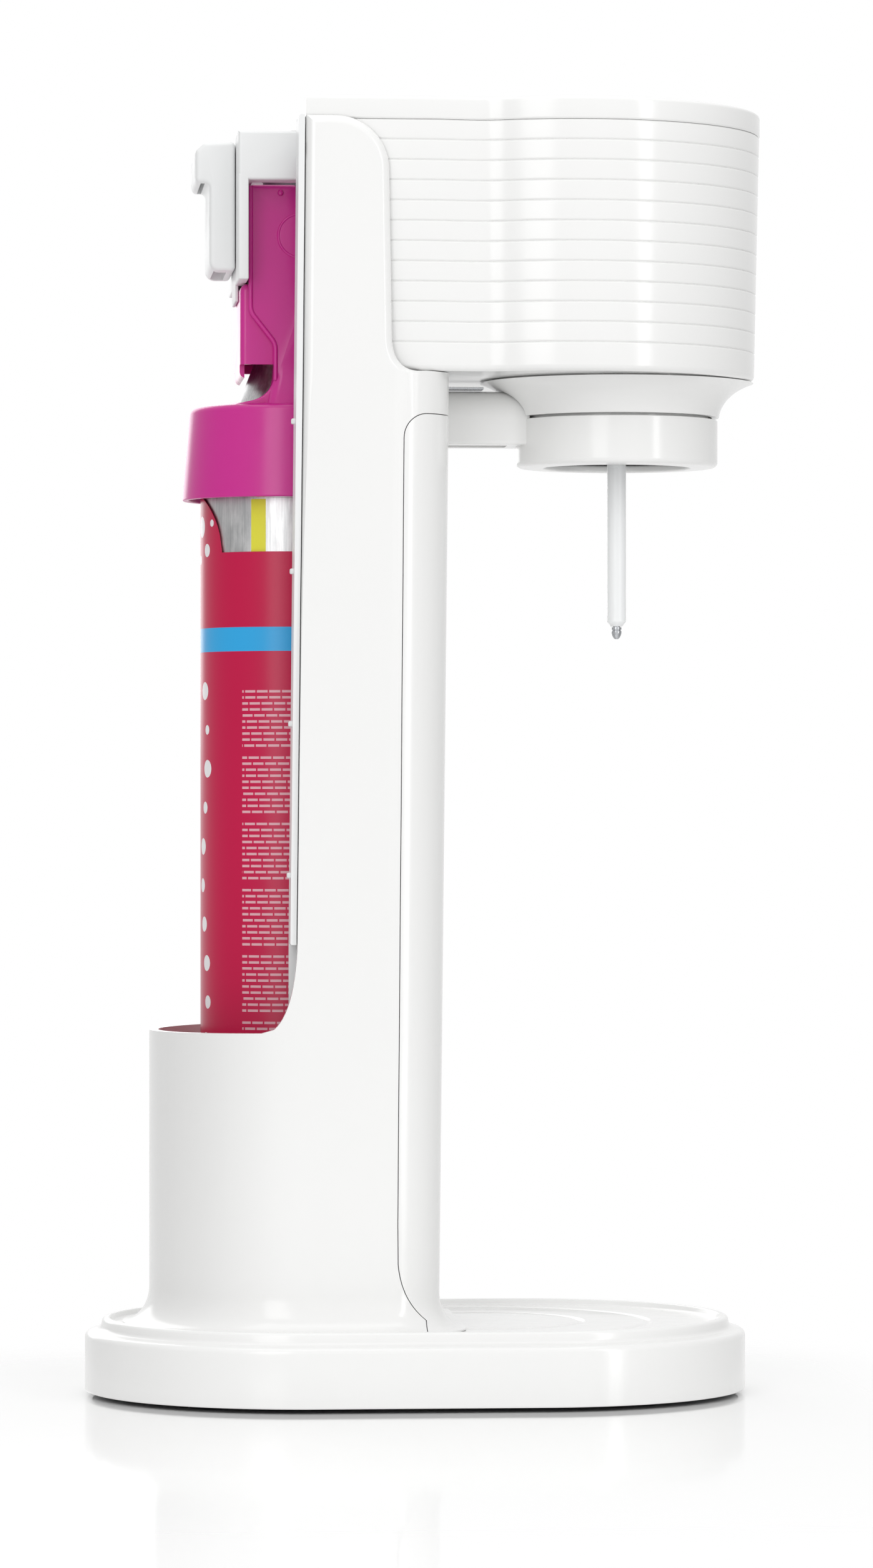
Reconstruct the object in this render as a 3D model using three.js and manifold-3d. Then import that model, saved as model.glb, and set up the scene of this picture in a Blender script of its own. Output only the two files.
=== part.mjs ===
// Countertop soda carbonator with a quick-fit gas cylinder, in millimetres.
// +Z is up, +X is the side the bottle goes in, and the origin is on the table under the
// middle of the machine. Every piece is a separate closed solid, and moving pieces keep a gap.
import * as THREE from "three";
import { mergeVertices } from "three/addons/utils/BufferGeometryUtils.js";
import Module from "manifold-3d";

const wasm = await Module();
wasm.setup();

// Driving dimensions.
const GAP = 0.3;
const BASE = { rear: -113.8, front: 108.8, radius: 73.7, low: 1.6, deck: 24, rim: 26, wall: 2.4 };
const RIPPLE = { x: 20.5, radii: [33, 55.5], width: 2.6, depth: 0.8 };
const TOWER = { rear: -42.8, front: 5.2, top: 340.1, wall: 3.2, corner: 20, upper: 62, lower: 54 };
const POCKET = { rear: -92.2, rim: 123, floor: 27.2, wall: 3, join: 127 };
const EAR = { top: 423.6, front: -15.4, radius: 17.7 };
const COVER = { seam: -10.6, top: 326, wall: 2.4 };
const HEAD = { x: 49.7, radius: 64.1, neck: 58.5, low: 340.4, cap: 422.6, top: 430, wall: 2.4 };
const GROOVE = { first: 422.6, pitch: 6.623, count: 12, half: 0.4, depth: 0.45 };
const COLLAR = { x: 65.6, radius: 34.1, low: 312.7, top: 327.6, mouth: 24.7 };
const ARM = { rear: 5.7, half: 12.5, low: 318.8, top: 337 };
const NOZZLE = { radius: 3.2, low: 258.2, tip: 253.9, bore: 1.4 };
const HINGE = { x: 94.5, z: 331, pin: 1.5 };
const GAS = { x: -45, radius: 30, foot: 27.5, shoulder: 300, neck: 352 };
const GUARD = { low: 300, top: 331, lowRadius: 36.1, topRadius: 33.4, half: 26 };
const BAY = { half: 46, wall: 2, front: -4.2, low: 128, lip: 2 };
const LEVER = { x: -42, z: 412.5, half: 38, rear: -63.9, low: 404.4, top: 420.5, pin: 2.5 };
const BUTTON = { radius: 38, top: 429.3, stroke: 8 };
const BEAM = { x: -52, z: 417.3, pin: 1.2, half: 4 };
const RECEIVER = { radius: 9, low: 405, top: 414.6 };

const paint = (color, roughness, metalness = 0) =>
  new THREE.MeshStandardMaterial({ color, roughness, metalness });
const WHITE = paint("#f3f3f2", 0.22);
const SATIN = paint("#e6e7e7", 0.45);
const TRANSLUCENT = paint("#eceeee", 0.3);
const MAGENTA = paint("#c2328f", 0.3);
const CRIMSON = paint("#b5063c", 0.35);
const ALUMINIUM = paint("#c6c8ca", 0.38, 1);
const STEEL = paint("#b9babd", 0.3, 1);
const BRASS = paint("#c6a55a", 0.35, 1);
const GREY = paint("#8d9093", 0.5);
const RUBBER = paint("#2b2c2e", 0.85);

const machine = new THREE.Group();

// A three.js geometry as a manifold solid with its faces pointing out.
function solid(geometry) {
  geometry.deleteAttribute("normal");
  geometry.deleteAttribute("uv");
  const merged = mergeVertices(geometry, 1e-4);
  const triVerts = new Uint32Array(merged.index.array);
  const build = () =>
    new wasm.Manifold(
      new wasm.Mesh({ numProp: 3, vertProperties: merged.attributes.position.array, triVerts }),
    );
  const made = build();
  if (made.volume() > 0) return made;
  for (let i = 0; i < triVerts.length; i += 3)
    [triVerts[i + 1], triVerts[i + 2]] = [triVerts[i + 2], triVerts[i + 1]];
  return build();
}

function add(name, shape, material) {
  const made = shape.getMesh();
  const geometry = new THREE.BufferGeometry();
  geometry.setAttribute("position", new THREE.BufferAttribute(made.vertProperties, 3));
  geometry.setIndex(new THREE.BufferAttribute(made.triVerts, 1));
  geometry.computeVertexNormals();
  const mesh = new THREE.Mesh(geometry, material);
  mesh.name = name;
  machine.add(mesh);
}

// The points of a closed outline, each one once.
function outline(shape, divisions = 8) {
  const points = shape.getPoints(divisions);
  return points.filter((point, i) => point.distanceTo(points.at(i - 1)) > 1e-3);
}

function polygon(points) {
  return new THREE.Shape(points.map(([x, y]) => new THREE.Vector2(x, y)));
}

// A skin through rings of equal point count, closed by a flat face at each end.
function loft(rings) {
  const count = rings[0].points.length;
  const positions = rings.flatMap(({ z, points }) => points.flatMap((p) => [p.x, p.y, z]));
  const index = [];
  for (let ring = 0; ring < rings.length - 1; ring++)
    for (let i = 0; i < count; i++) {
      const a = ring * count + i;
      const b = ring * count + ((i + 1) % count);
      index.push(a, b, b + count, a, b + count, a + count);
    }
  const last = (rings.length - 1) * count;
  for (const [a, b, c] of THREE.ShapeUtils.triangulateShape(rings[0].points, []))
    index.push(a, c, b);
  for (const [a, b, c] of THREE.ShapeUtils.triangulateShape(rings.at(-1).points, []))
    index.push(last + a, last + b, last + c);
  const geometry = new THREE.BufferGeometry();
  geometry.setAttribute("position", new THREE.Float32BufferAttribute(positions, 3));
  geometry.setIndex(index);
  return solid(geometry);
}

function box(x0, x1, y0, y1, z0, z1) {
  const geometry = new THREE.BoxGeometry(x1 - x0, y1 - y0, z1 - z0);
  return solid(geometry.translate((x0 + x1) / 2, (y0 + y1) / 2, (z0 + z1) / 2));
}

// A body of revolution about a vertical axis, from [radius, z] pairs.
function turned(profile, x = 0, y = 0, segments = 40) {
  const points = profile.map(([r, z]) => new THREE.Vector2(r, z));
  const geometry = new THREE.LatheGeometry(points, segments);
  return solid(geometry.rotateX(Math.PI / 2).translate(x, y, 0));
}

const disc = (radius, z0, z1, x, y = 0, segments = 24) =>
  turned([[0, z0], [radius, z0], [radius, z1], [0, z1]], x, y, segments);

const tube = (outer, inner, z0, z1, x, y = 0, segments = 40) =>
  turned([[inner, z0], [outer, z0], [outer, z1], [inner, z1], [inner, z0]], x, y, segments);

// A round bar along Y through (x, z).
function crossBar(radius, y0, y1, x, z, segments = 20) {
  const geometry = new THREE.CylinderGeometry(radius, radius, y1 - y0, segments);
  return solid(geometry.translate(x, (y0 + y1) / 2, z));
}

// A side-view outline in X and Z, made solid across the width, with rounded side edges.
function across(shape, half, edge = 0, curveSegments = 8) {
  const geometry = new THREE.ExtrudeGeometry(shape, {
    depth: 2 * (half - edge),
    bevelEnabled: edge > 0,
    bevelThickness: edge,
    bevelSize: edge,
    bevelOffset: -edge,
    bevelSegments: 2,
    curveSegments,
  });
  return solid(geometry.translate(0, 0, edge - half).rotateX(Math.PI / 2));
}

const join = (...shapes) => shapes.reduce((sum, shape) => sum.add(shape));
const mirrored = (make) => join(make(1), make(-1));

// ---- Base: a hollow moulding on four feet, closed underneath by a cover.

function stadium(inset) {
  const radius = BASE.radius - inset;
  const shape = new THREE.Shape();
  shape.absarc(BASE.front - BASE.radius, 0, radius, -Math.PI / 2, Math.PI / 2);
  shape.absarc(BASE.rear + BASE.radius, 0, radius, Math.PI / 2, (3 * Math.PI) / 2);
  return outline(shape, 9);
}

const baseRings = (levels) => loft(levels.map(([z, inset]) => ({ z, points: stadium(inset) })));

const BASE_SCREWS = [[-82, 40], [-82, -40], [78, 40], [78, -40]];
const TOWER_SCREWS = [[-68, 34], [-68, -34], [-13, 38], [-13, -38]];
const FEET = [[-72, 46], [-72, -46], [66, 46], [66, -46]];

function baseShell() {
  const { low, deck, rim, wall } = BASE;
  let body = baseRings([
    [low, 0], [19.6, 0], [20.9, 0.6], [21.5, 2.2], [22, 4.4], [23.2, 5.3], [24.9, 5.6],
    [rim - 0.2, 6.3], [rim, 7.2], [rim - 0.4, 8.2], [deck, 9.6],
  ]);
  body = body.subtract(baseRings([[-1, wall], [18.6, wall], [deck - wall, 9]]));
  for (const radius of RIPPLE.radii) {
    const ring = [
      [radius - RIPPLE.width / 2, deck + 0.1],
      [radius, deck - RIPPLE.depth],
      [radius + RIPPLE.width / 2, deck + 0.1],
      [radius - RIPPLE.width / 2, deck + 0.1],
    ];
    body = body.subtract(turned(ring, RIPPLE.x, 0, 48));
  }
  for (const [x, y] of BASE_SCREWS)
    body = body.add(disc(4.2, 4.5, deck - wall + 0.4, x, y, 16)).subtract(disc(1.7, 4, 18, x, y, 12));
  for (const [x, y] of TOWER_SCREWS) body = body.subtract(disc(1.9, 15, 30, x, y, 12));
  return body;
}

function baseCover() {
  let plate = baseRings([[BASE.low + 0.2, BASE.wall + GAP], [4.2, BASE.wall + GAP]]);
  for (const [x, y] of BASE_SCREWS)
    plate = plate.subtract(disc(1.7, 0, 6, x, y, 12)).subtract(disc(3.5, 0, 3.2, x, y, 14));
  for (const [x, y] of FEET) plate = plate.subtract(disc(3, 0, 6, x, y, 14));
  return plate;
}

function foot(x, y) {
  const profile = [[0, 0], [8.2, 0], [9, 0.5], [9, 1.5], [2.7, 1.5], [2.7, 5.6], [0, 5.6]];
  return turned(profile, x, y, 20);
}

function screw(x, y, head, end) {
  const profile = [[0, head], [2.9, head], [2.9, head + 1], [1.4, head + 1.2], [1.4, end], [0, end]];
  return turned(profile, x, y, 12);
}

// ---- Tower: a rear-open channel moulded in one with the gas pocket and the two ears.

const towerLean = (z) => 0.0085 * (z - 313);
const rearEdge = (z) => TOWER.rear - 0.0096 * (EAR.top - z);
const towerHalf = (z) =>
  TOWER.upper - (Math.max(0, TOWER.top - z) * (TOWER.upper - TOWER.lower)) / (TOWER.top - 24);

function columnOutline(z, inset, frontInset = inset, grow = 0) {
  const half = towerHalf(z) - inset + grow;
  const front = TOWER.front + towerLean(z) - frontInset + grow;
  const corner = TOWER.corner - frontInset + grow;
  const shape = new THREE.Shape();
  shape.moveTo(-60, -half);
  shape.lineTo(front - corner, -half);
  shape.absarc(front - corner, -half + corner, corner, -Math.PI / 2, 0);
  shape.absarc(front - corner, half - corner, corner, 0, Math.PI / 2);
  shape.lineTo(-60, half);
  return outline(shape, 4);
}

function column(inset, frontInset, levels) {
  return loft(levels.map((z) => ({ z, points: columnOutline(z, inset, frontInset) })));
}

function pocketOutline(z, inset, grow = 0) {
  const half = towerHalf(z) - inset + grow;
  const depth = TOWER.rear - POCKET.rear - inset + grow;
  const front = TOWER.front + towerLean(z) + grow;
  const corner = TOWER.corner + grow;
  const shape = new THREE.Shape();
  shape.absellipse(TOWER.rear, 0, depth, half, Math.PI / 2, Math.PI);
  shape.absellipse(TOWER.rear, 0, depth, half, Math.PI, (3 * Math.PI) / 2);
  shape.lineTo(front - corner, -half);
  shape.absarc(front - corner, -half + corner, corner, -Math.PI / 2, 0);
  shape.absarc(front - corner, half - corner, corner, 0, Math.PI / 2);
  return outline(shape, 4);
}

// The lower tower, with the pocket: its foot sweeps out to the deck in a hollow curve all round.
function towerFoot() {
  const spread = 9;
  const rise = 12;
  const low = BASE.deck + GAP;
  const rings = [{ z: low, points: pocketOutline(low, 0, spread) }];
  for (let step = 0; step <= 5; step++) {
    const angle = ((step / 5) * Math.PI) / 2;
    const z = low + 0.5 + rise * (1 - Math.cos(angle));
    rings.push({ z, points: pocketOutline(z, 0, spread * (1 - Math.sin(angle))) });
  }
  rings.push({ z: POCKET.join, points: pocketOutline(POCKET.join, 0) });
  return loft(rings);
}

// What the tower fills in side view: pocket rim, gusset, leaning rear edge and ear.
function towerProfile() {
  const shape = new THREE.Shape();
  shape.moveTo(-130, 10);
  shape.lineTo(60, 10);
  shape.lineTo(60, TOWER.top);
  shape.lineTo(-7, TOWER.top);
  shape.quadraticCurveTo(-13.6, TOWER.top + 0.6, -14.4, 349);
  shape.lineTo(EAR.front, EAR.top - EAR.radius);
  shape.absarc(EAR.front - EAR.radius, EAR.top - EAR.radius, EAR.radius, 0, Math.PI / 2);
  shape.lineTo(TOWER.rear, EAR.top);
  shape.lineTo(rearEdge(150), 150);
  shape.quadraticCurveTo(rearEdge(140) - 1, 130, -53, POCKET.rim + 1.4);
  shape.lineTo(-130, POCKET.rim - 1);
  return shape;
}

// The front cover's side view, grown by a gap where it is cut out of the tower.
function coverProfile(gap) {
  const radius = 8 + gap;
  const seam = COVER.seam - gap;
  const shape = new THREE.Shape();
  shape.moveTo(seam + 8.6, 10);
  shape.lineTo(seam + 8, 28.5);
  shape.lineTo(seam + 1.4, 36);
  shape.lineTo(seam - 1.6, 46);
  shape.lineTo(seam, COVER.top + gap - radius);
  shape.absarc(seam + radius, COVER.top + gap - radius, radius, Math.PI, Math.PI / 2, true);
  shape.lineTo(60, COVER.top + gap);
  shape.lineTo(60, 10);
  return shape;
}

const towerEnvelope = () => towerFoot().add(column(0, 0, [POCKET.join, TOWER.top, EAR.top + 1]));

function towerShell() {
  let body = towerEnvelope().intersect(across(towerProfile(), 62, 3, 5));
  const inside = column(TOWER.wall, 5.1, [POCKET.floor, TOWER.top, EAR.top + 9]).subtract(
    box(-130, TOWER.rear, -80, 80, 0, POCKET.join),
  );
  const pocketLevels = [POCKET.floor, POCKET.join + 1];
  const pocket = loft(pocketLevels.map((z) => ({ z, points: pocketOutline(z, POCKET.wall) })));
  const behindCover = column(COVER.wall + GAP, COVER.wall + GAP, [10, TOWER.top, EAR.top]);
  const coverSpace = across(coverProfile(GAP), 90, 0, 5).subtract(behindCover);
  const behindEdge = box(-90, -43, -70, 70, 200, 500).subtract(across(towerProfile(), 80));
  body = body.subtract(coverSpace).subtract(inside);
  body = body.subtract(pocket.intersect(box(-130, -8, -80, 80, 0, 200)));
  body = body.subtract(behindEdge);
  for (const [x, y] of TOWER_SCREWS)
    body = body.add(disc(4.6, POCKET.floor - 0.4, 36, x, y)).subtract(disc(1.7, 20, 33, x, y, 16));
  return body;
}

function frontCover() {
  const skin = towerEnvelope().intersect(across(coverProfile(0), 90, 0, 5));
  return skin.subtract(column(COVER.wall, COVER.wall, [10, TOWER.top, EAR.top]));
}

// Heights of the small pips that locate a back cover on the liner's lip.
const PIPS = [174.8, 224.5, 274.5, 323.7];

// The liner of the gas bay, with a lip that shows as a thin strip behind the tower's edges.
function bayLiner() {
  const { half, wall, front, low, lip } = BAY;
  const edge = (z) => rearEdge(z) - GAP;
  const top = EAR.top;
  const sides = polygon([
    [front, low], [front, top], [edge(top) - lip, top], [edge(152) - lip, 152], [edge(152) - lip, low],
  ]);
  let body = across(sides, half).subtract(box(-90, front - wall, wall - half, half - wall, 0, 500));
  const flange = polygon([
    [edge(top), top], [edge(top) - lip, top], [edge(152) - lip, 152], [edge(152), 152],
  ]);
  const reach = (z) => towerHalf(z) - 1.6;
  const trim = loft(
    [140, TOWER.top, top + 1].map((z) => ({
      z,
      points: [[-60, -1], [0, -1], [0, 1], [-60, 1]].map(([x, s]) => new THREE.Vector2(x, s * reach(z))),
    })),
  );
  body = body.add(across(flange, 70).intersect(trim));
  body = body.subtract(box(-90, front - wall, wall - half, half - wall, 0, 500));
  body = body.subtract(box(-20, 5, -40, 40, 384, 430));
  for (const z of PIPS) {
    const rear = edge(z) - lip;
    const pip = (side) => box(rear - 1.4, rear + 1, side * 52 - 1.6, side * 52 + 1.6, z - 0.9, z + 0.9);
    body = body.add(mirrored(pip));
  }
  return body.subtract(crossBar(LEVER.pin + 0.2, -60, 60, LEVER.x, LEVER.z));
}

// ---- Head: grooved shell, top cap, underside with the hollow-curved throat.

function headOutline(inset) {
  const { x, radius, neck } = HEAD;
  const r = radius - inset;
  const half = neck - inset;
  const sweep = (114 * Math.PI) / 180;
  const end = new THREE.Vector2(x + r * Math.cos(sweep), r * Math.sin(sweep));
  const shape = new THREE.Shape();
  shape.moveTo(TOWER.rear + inset, -half);
  shape.lineTo(-4, -half);
  shape.bezierCurveTo(6, -half, end.x - 11, -end.y + 4.8, end.x, -end.y);
  shape.absarc(x, 0, r, -sweep, sweep);
  shape.bezierCurveTo(end.x - 11, end.y - 4.8, 6, half, -4, half);
  shape.lineTo(TOWER.rear + inset, half);
  return outline(shape, 8);
}

const headRings = (levels) => loft(levels.map(([z, inset]) => ({ z, points: headOutline(inset) })));
const headDraft = (z) => 0.022 * (HEAD.top - z);

function headShell() {
  const { low, cap, wall } = HEAD;
  const draftLow = headDraft(low);
  const levels = [[low, 1.9 + draftLow], [low + 0.7, 0.6 + draftLow], [low + 2, draftLow]];
  for (let groove = GROOVE.count - 1; groove > 0; groove--) {
    const z = GROOVE.first - groove * GROOVE.pitch;
    const draft = headDraft(z);
    levels.push([z - GROOVE.half, draft], [z, draft + GROOVE.depth], [z + GROOVE.half, draft]);
  }
  levels.push([cap - GROOVE.half, headDraft(cap)], [cap - GAP / 2, headDraft(cap) + GROOVE.depth]);
  const inner = headRings([[low - 1, wall + 2], [cap + 1, wall + 0.6]]);
  const opening = box(-60, -30, 0.4 - BAY.half - 1, BAY.half + 0.6, 300, 500);
  return headRings(levels).subtract(inner).subtract(opening);
}

function headTop() {
  const { cap, top, wall } = HEAD;
  const levels = [
    [cap + GAP / 2, GROOVE.depth], [cap + GROOVE.half, 0.1], [top - 1, 0], [top - 0.3, 0.3], [top, 1],
  ];
  let body = headRings(levels).subtract(headRings([[cap - 1, wall + 0.6], [top - wall, wall + 0.6]]));
  body = body.subtract(disc(BUTTON.radius + 0.6, cap, top + 1, HEAD.x, 0, 44));
  return body.subtract(box(-60, -26, -BAY.half - 0.6, BAY.half + 0.6, 400, 500));
}

const THROAT = [
  [32.2, 328.5], [34.5, 328.5], [35.2, 330.6], [37.2, 333.6], [41, 336.8], [46.2, 340.1], [43, 340.1],
  [43, 342.8], [40.5, 342.4], [35.4, 336.8], [32.8, 331], [32.2, 328.5],
];

function headUnderside() {
  const { low, wall } = HEAD;
  const inset = wall + 2.3;
  const plate = headRings([[low + GAP, inset], [low + 2.6, inset]]);
  let body = plate.subtract(disc(40, 300, 400, COLLAR.x, 0, 44)).add(turned(THROAT, COLLAR.x, 0, 36));
  const bay = box(-60, BAY.front + 1, -BAY.half - 0.6, BAY.half + 0.6, 300, 400);
  body = body.subtract(bay).subtract(armSolid(0.5, 8, ARM.top + 0.5));
  const ear = (side) => box(HINGE.x - 3, 99, side * 6 - 2, side * 6 + 2, 330, 341.5);
  body = body.add(mirrored(ear));
  return body.subtract(crossBar(HINGE.pin + 0.2, -9.5, 9.5, HINGE.x, HINGE.z));
}

// ---- Bottle holder: collar, arm, liner, gasket, nozzle and its block, on a front hinge.

function armSolid(grow, start, top) {
  const half = ARM.half + grow;
  const low = ARM.low - (grow > 0 ? 20 : 0);
  const shape = new THREE.Shape();
  shape.moveTo(-half, low);
  shape.lineTo(half, low);
  shape.absarc(half - 9, top - 9, 9, 0, Math.PI / 2);
  shape.absarc(9 - half, top - 9, 9, Math.PI / 2, Math.PI);
  const length = 48 - start;
  const geometry = new THREE.ExtrudeGeometry(shape, { depth: length, bevelEnabled: false, curveSegments: 5 });
  return solid(geometry.rotateX(Math.PI / 2).rotateZ(Math.PI / 2).translate(start, 0, 0));
}

function bottleCollar() {
  const { x, radius, low, top, mouth } = COLLAR;
  const ring = [
    [mouth, low - 1.3], [mouth + 3, low - 1.3], [radius - 1.5, low - 0.6], [radius, low + 0.9], [radius, top],
    [6, top], [6, top - 2.6], [radius - 2.4, top - 2.6], [radius - 2.4, low + 2], [mouth, low + 1],
    [mouth, low - 1.3],
  ];
  const inside = disc(radius - 2.4, low + 2, top - 2.6, x, 0, 44);
  const arm = armSolid(0, ARM.rear, ARM.top).subtract(box(35, 60, -20, 20, top, 400)).subtract(inside);
  const hollow = box(ARM.rear + 2, 28, 2 - ARM.half, ARM.half - 2, ARM.low + 2, ARM.top - 9);
  const lug = join(
    crossBar(2.8, -3.5, 3.5, HINGE.x, HINGE.z),
    box(HINGE.x - 2.8, HINGE.x + 1.8, -3.5, 3.5, top - 1, HINGE.z),
  );
  return turned(ring, x, 0, 44).add(arm.subtract(hollow.add(box(8, 28, -6, 6, 300, 325)))).add(lug)
    .subtract(crossBar(HINGE.pin + 0.15, -9, 9, HINGE.x, HINGE.z));
}

function collarLiner() {
  const { radius, low, top, mouth } = COLLAR;
  return tube(radius - 2.7, mouth + 0.6, low + 2.4, top - 2.9, COLLAR.x, 0, 48);
}

const bottleGasket = () => tube(15, 6.5, COLLAR.top - 5.6, COLLAR.top - 2.9, COLLAR.x, 0, 32);

function nozzle() {
  const { radius, low, bore } = NOZZLE;
  const seat = COLLAR.top + GAP;
  const profile = [
    [bore, low], [radius - 1, low], [radius - 0.3, low + 0.5], [radius, low + 1.4], [radius, seat],
    [8, seat], [8, seat + 2.6], [bore, seat + 2.6], [bore, low],
  ];
  return turned(profile, COLLAR.x, 0, 24);
}

function nozzleTip() {
  const { low, tip, bore } = NOZZLE;
  const stem = bore - 0.2;
  const profile = [
    [0, tip], [0.7, tip + 0.2], [1.5, tip + 1.3], [1.7, tip + 2.6], [1.7, low - GAP],
    [stem, low - GAP], [stem, low + 7], [0, low + 7],
  ];
  return turned(profile, COLLAR.x, 0, 20);
}

function nozzleBlock() {
  const low = COLLAR.top + 3.3;
  const body = join(disc(17, low, low + 9, COLLAR.x, 0, 36), disc(12, low + 8, low + 13, COLLAR.x, 0, 32));
  const barb = box(COLLAR.x - 20, COLLAR.x - 10, -3, 3, low + 2, low + 8);
  return body.add(barb).subtract(disc(8.3, low - 1, low + 0.4, COLLAR.x, 0, 24));
}

const reliefValve = () => {
  const low = COLLAR.top + 16.6;
  return turned([[0, low], [6, low], [6, low + 4], [4, low + 6], [4, low + 9], [0, low + 9]], COLLAR.x, 0, 6);
};

const snapLatch = () => box(7, 20, -6, 6, ARM.top + 0.6, ARM.top + 1.4);

// ---- Pressing side: button, tray, spring, beam, receiver and plunger.

function button() {
  const { radius, top } = BUTTON;
  const profile = [
    [0, top - 0.9], [radius - 10, top - 0.7], [radius - 3, top - 0.2], [radius - 1, top], [radius, top - 0.8],
    [radius, top - 14], [radius - 2, top - 14], [radius - 2, top - 3.4], [4, top - 3.4], [4, 397.7],
    [0, 397.7],
  ];
  return turned(profile, HEAD.x, 0, 44);
}

function buttonTray() {
  const outer = BUTTON.radius + 3;
  const profile = [
    [6, 404], [outer, 404], [outer, HEAD.top - HEAD.wall - GAP], [outer - 2.4, HEAD.top - HEAD.wall - GAP],
    [outer - 2.4, 406.4], [6, 406.4], [6, 404],
  ];
  return turned(profile, HEAD.x, 0, 44);
}

function buttonSpring() {
  const low = 406.9;
  const high = BUTTON.top - 3.9;
  const turns = 5;
  const points = [];
  for (let step = 0; step <= turns * 10; step++) {
    const angle = (step / 10) * 2 * Math.PI;
    const z = low + 0.6 + ((high - low - 1.2) * step) / (turns * 10);
    points.push(new THREE.Vector3(HEAD.x + 9 * Math.cos(angle), 9 * Math.sin(angle), z));
  }
  const wire = new THREE.Shape();
  wire.absarc(0, 0, 0.55, 0, 2 * Math.PI);
  return solid(
    new THREE.ExtrudeGeometry(wire, {
      steps: turns * 10,
      curveSegments: 3,
      bevelEnabled: false,
      extrudePath: new THREE.CatmullRomCurve3(points),
    }),
  );
}

function actuatorBeam() {
  const { x, z, pin, half } = BEAM;
  const shape = polygon([
    [x - 2.2, z - 0.8], [-4, z - 0.8], [4, 394], [57, 394], [57, 397.1], [7, 397.1], [-1, z + 2.2],
    [x - 2.2, z + 2.2],
  ]);
  return across(shape, half).subtract(crossBar(pin + 0.2, -9, 9, x, z + 0.6, 16));
}

// The block that holds the cylinder's valve, with two ears that carry the beam's pin.
function receiver() {
  const { radius, low, top } = RECEIVER;
  const ear = (side) => box(BEAM.x - 2.2, BEAM.x + 2.2, side * 5.7 - 1.3, side * 5.7 + 1.3, top - 1, 420.2);
  const bridge = box(-36, -20, -4, 4, 404.5, 408.5).add(box(-24, -20, -43.4, 43.4, 402.5, 408.5));
  return disc(radius, low, top, GAS.x, 0, 32).add(box(-54, -34, -radius, radius, low + 3, top))
    .add(mirrored(ear)).add(bridge).add(box(-37, -33, -4, 4, 404.5, 409))
    .subtract(disc(2.2, 400, 430, GAS.x, 0, 16))
    .subtract(crossBar(BEAM.pin + 0.2, -9, 9, BEAM.x, BEAM.z + 0.6, 16));
}

const receiverSeal = () => tube(7.5, 2.6, 404.4, 404.7, GAS.x, 0, 28);
const plunger = () => disc(1.9, RECEIVER.low + GAP, BEAM.z - 1.1, GAS.x, 0, 16);

function gasHose() {
  const route = [
    [-33.4, 6.5, 411], [-26, 8, 412], [-14, 9.5, 411.5], [-4, 10, 404], [1, 10, 384], [5, 10, 364],
    [16, 9, 353], [28, 5, 348.5], [36, 1, 342], [41, 0, 338.4], [44, 0, 336.4],
  ].map(([x, y, z]) => new THREE.Vector3(x, y, z));
  const section = new THREE.Shape();
  section.absarc(0, 0, 2.4, 0, 2 * Math.PI);
  return solid(
    new THREE.ExtrudeGeometry(section, {
      steps: 24,
      curveSegments: 4,
      bevelEnabled: false,
      extrudePath: new THREE.CatmullRomCurve3(route),
    }),
  );
}

// ---- Gas cylinder with its label, valve and guard.

function gasCylinder() {
  const { x, radius: r, foot: low, shoulder, neck } = GAS;
  const profile = [
    [0, low], [22, low], [26.5, low + 1.6], [r - 1, low + 4.6], [r - 0.7, low + 8], [r - 0.7, 282],
    [r - 0.7, shoulder], [r - 1.8, 308], [26, 316], [22, 325], [17.6, 333], [13.8, 340], [12.5, 346],
    [12.5, neck], [0, neck],
  ];
  return turned(profile, x, 0, 40);
}

const gasLabel = () => tube(GAS.radius, GAS.radius - 0.4, 38, 282, GAS.x, 0, 40);

function valveBody() {
  const low = GAS.neck + GAP;
  const profile = [
    [1.2, low], [11, low], [11, low + 10], [9, low + 12], [9, 388], [12, 389], [12, 398], [7, 399.5],
    [7, 403.2], [1.2, 403.2], [1.2, low],
  ];
  return turned(profile, GAS.x, 0, 18);
}

const valvePin = () => turned([[0, 372], [1, 372], [1, 403.8], [0, 403.8]], GAS.x, 0, 12);

function guardProfile(inset) {
  const top = 404 - inset;
  return polygon([
    [-51.4 + inset, 322], [-51.4 + inset, 351], [-59.9 + inset, 361.5 + inset / 2], [-59.9 + inset, top],
    [-43.9, top], [-42.9, 396 - inset], [-22 - inset, 396 - inset], [-22 - inset, 322],
  ]);
}

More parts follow.
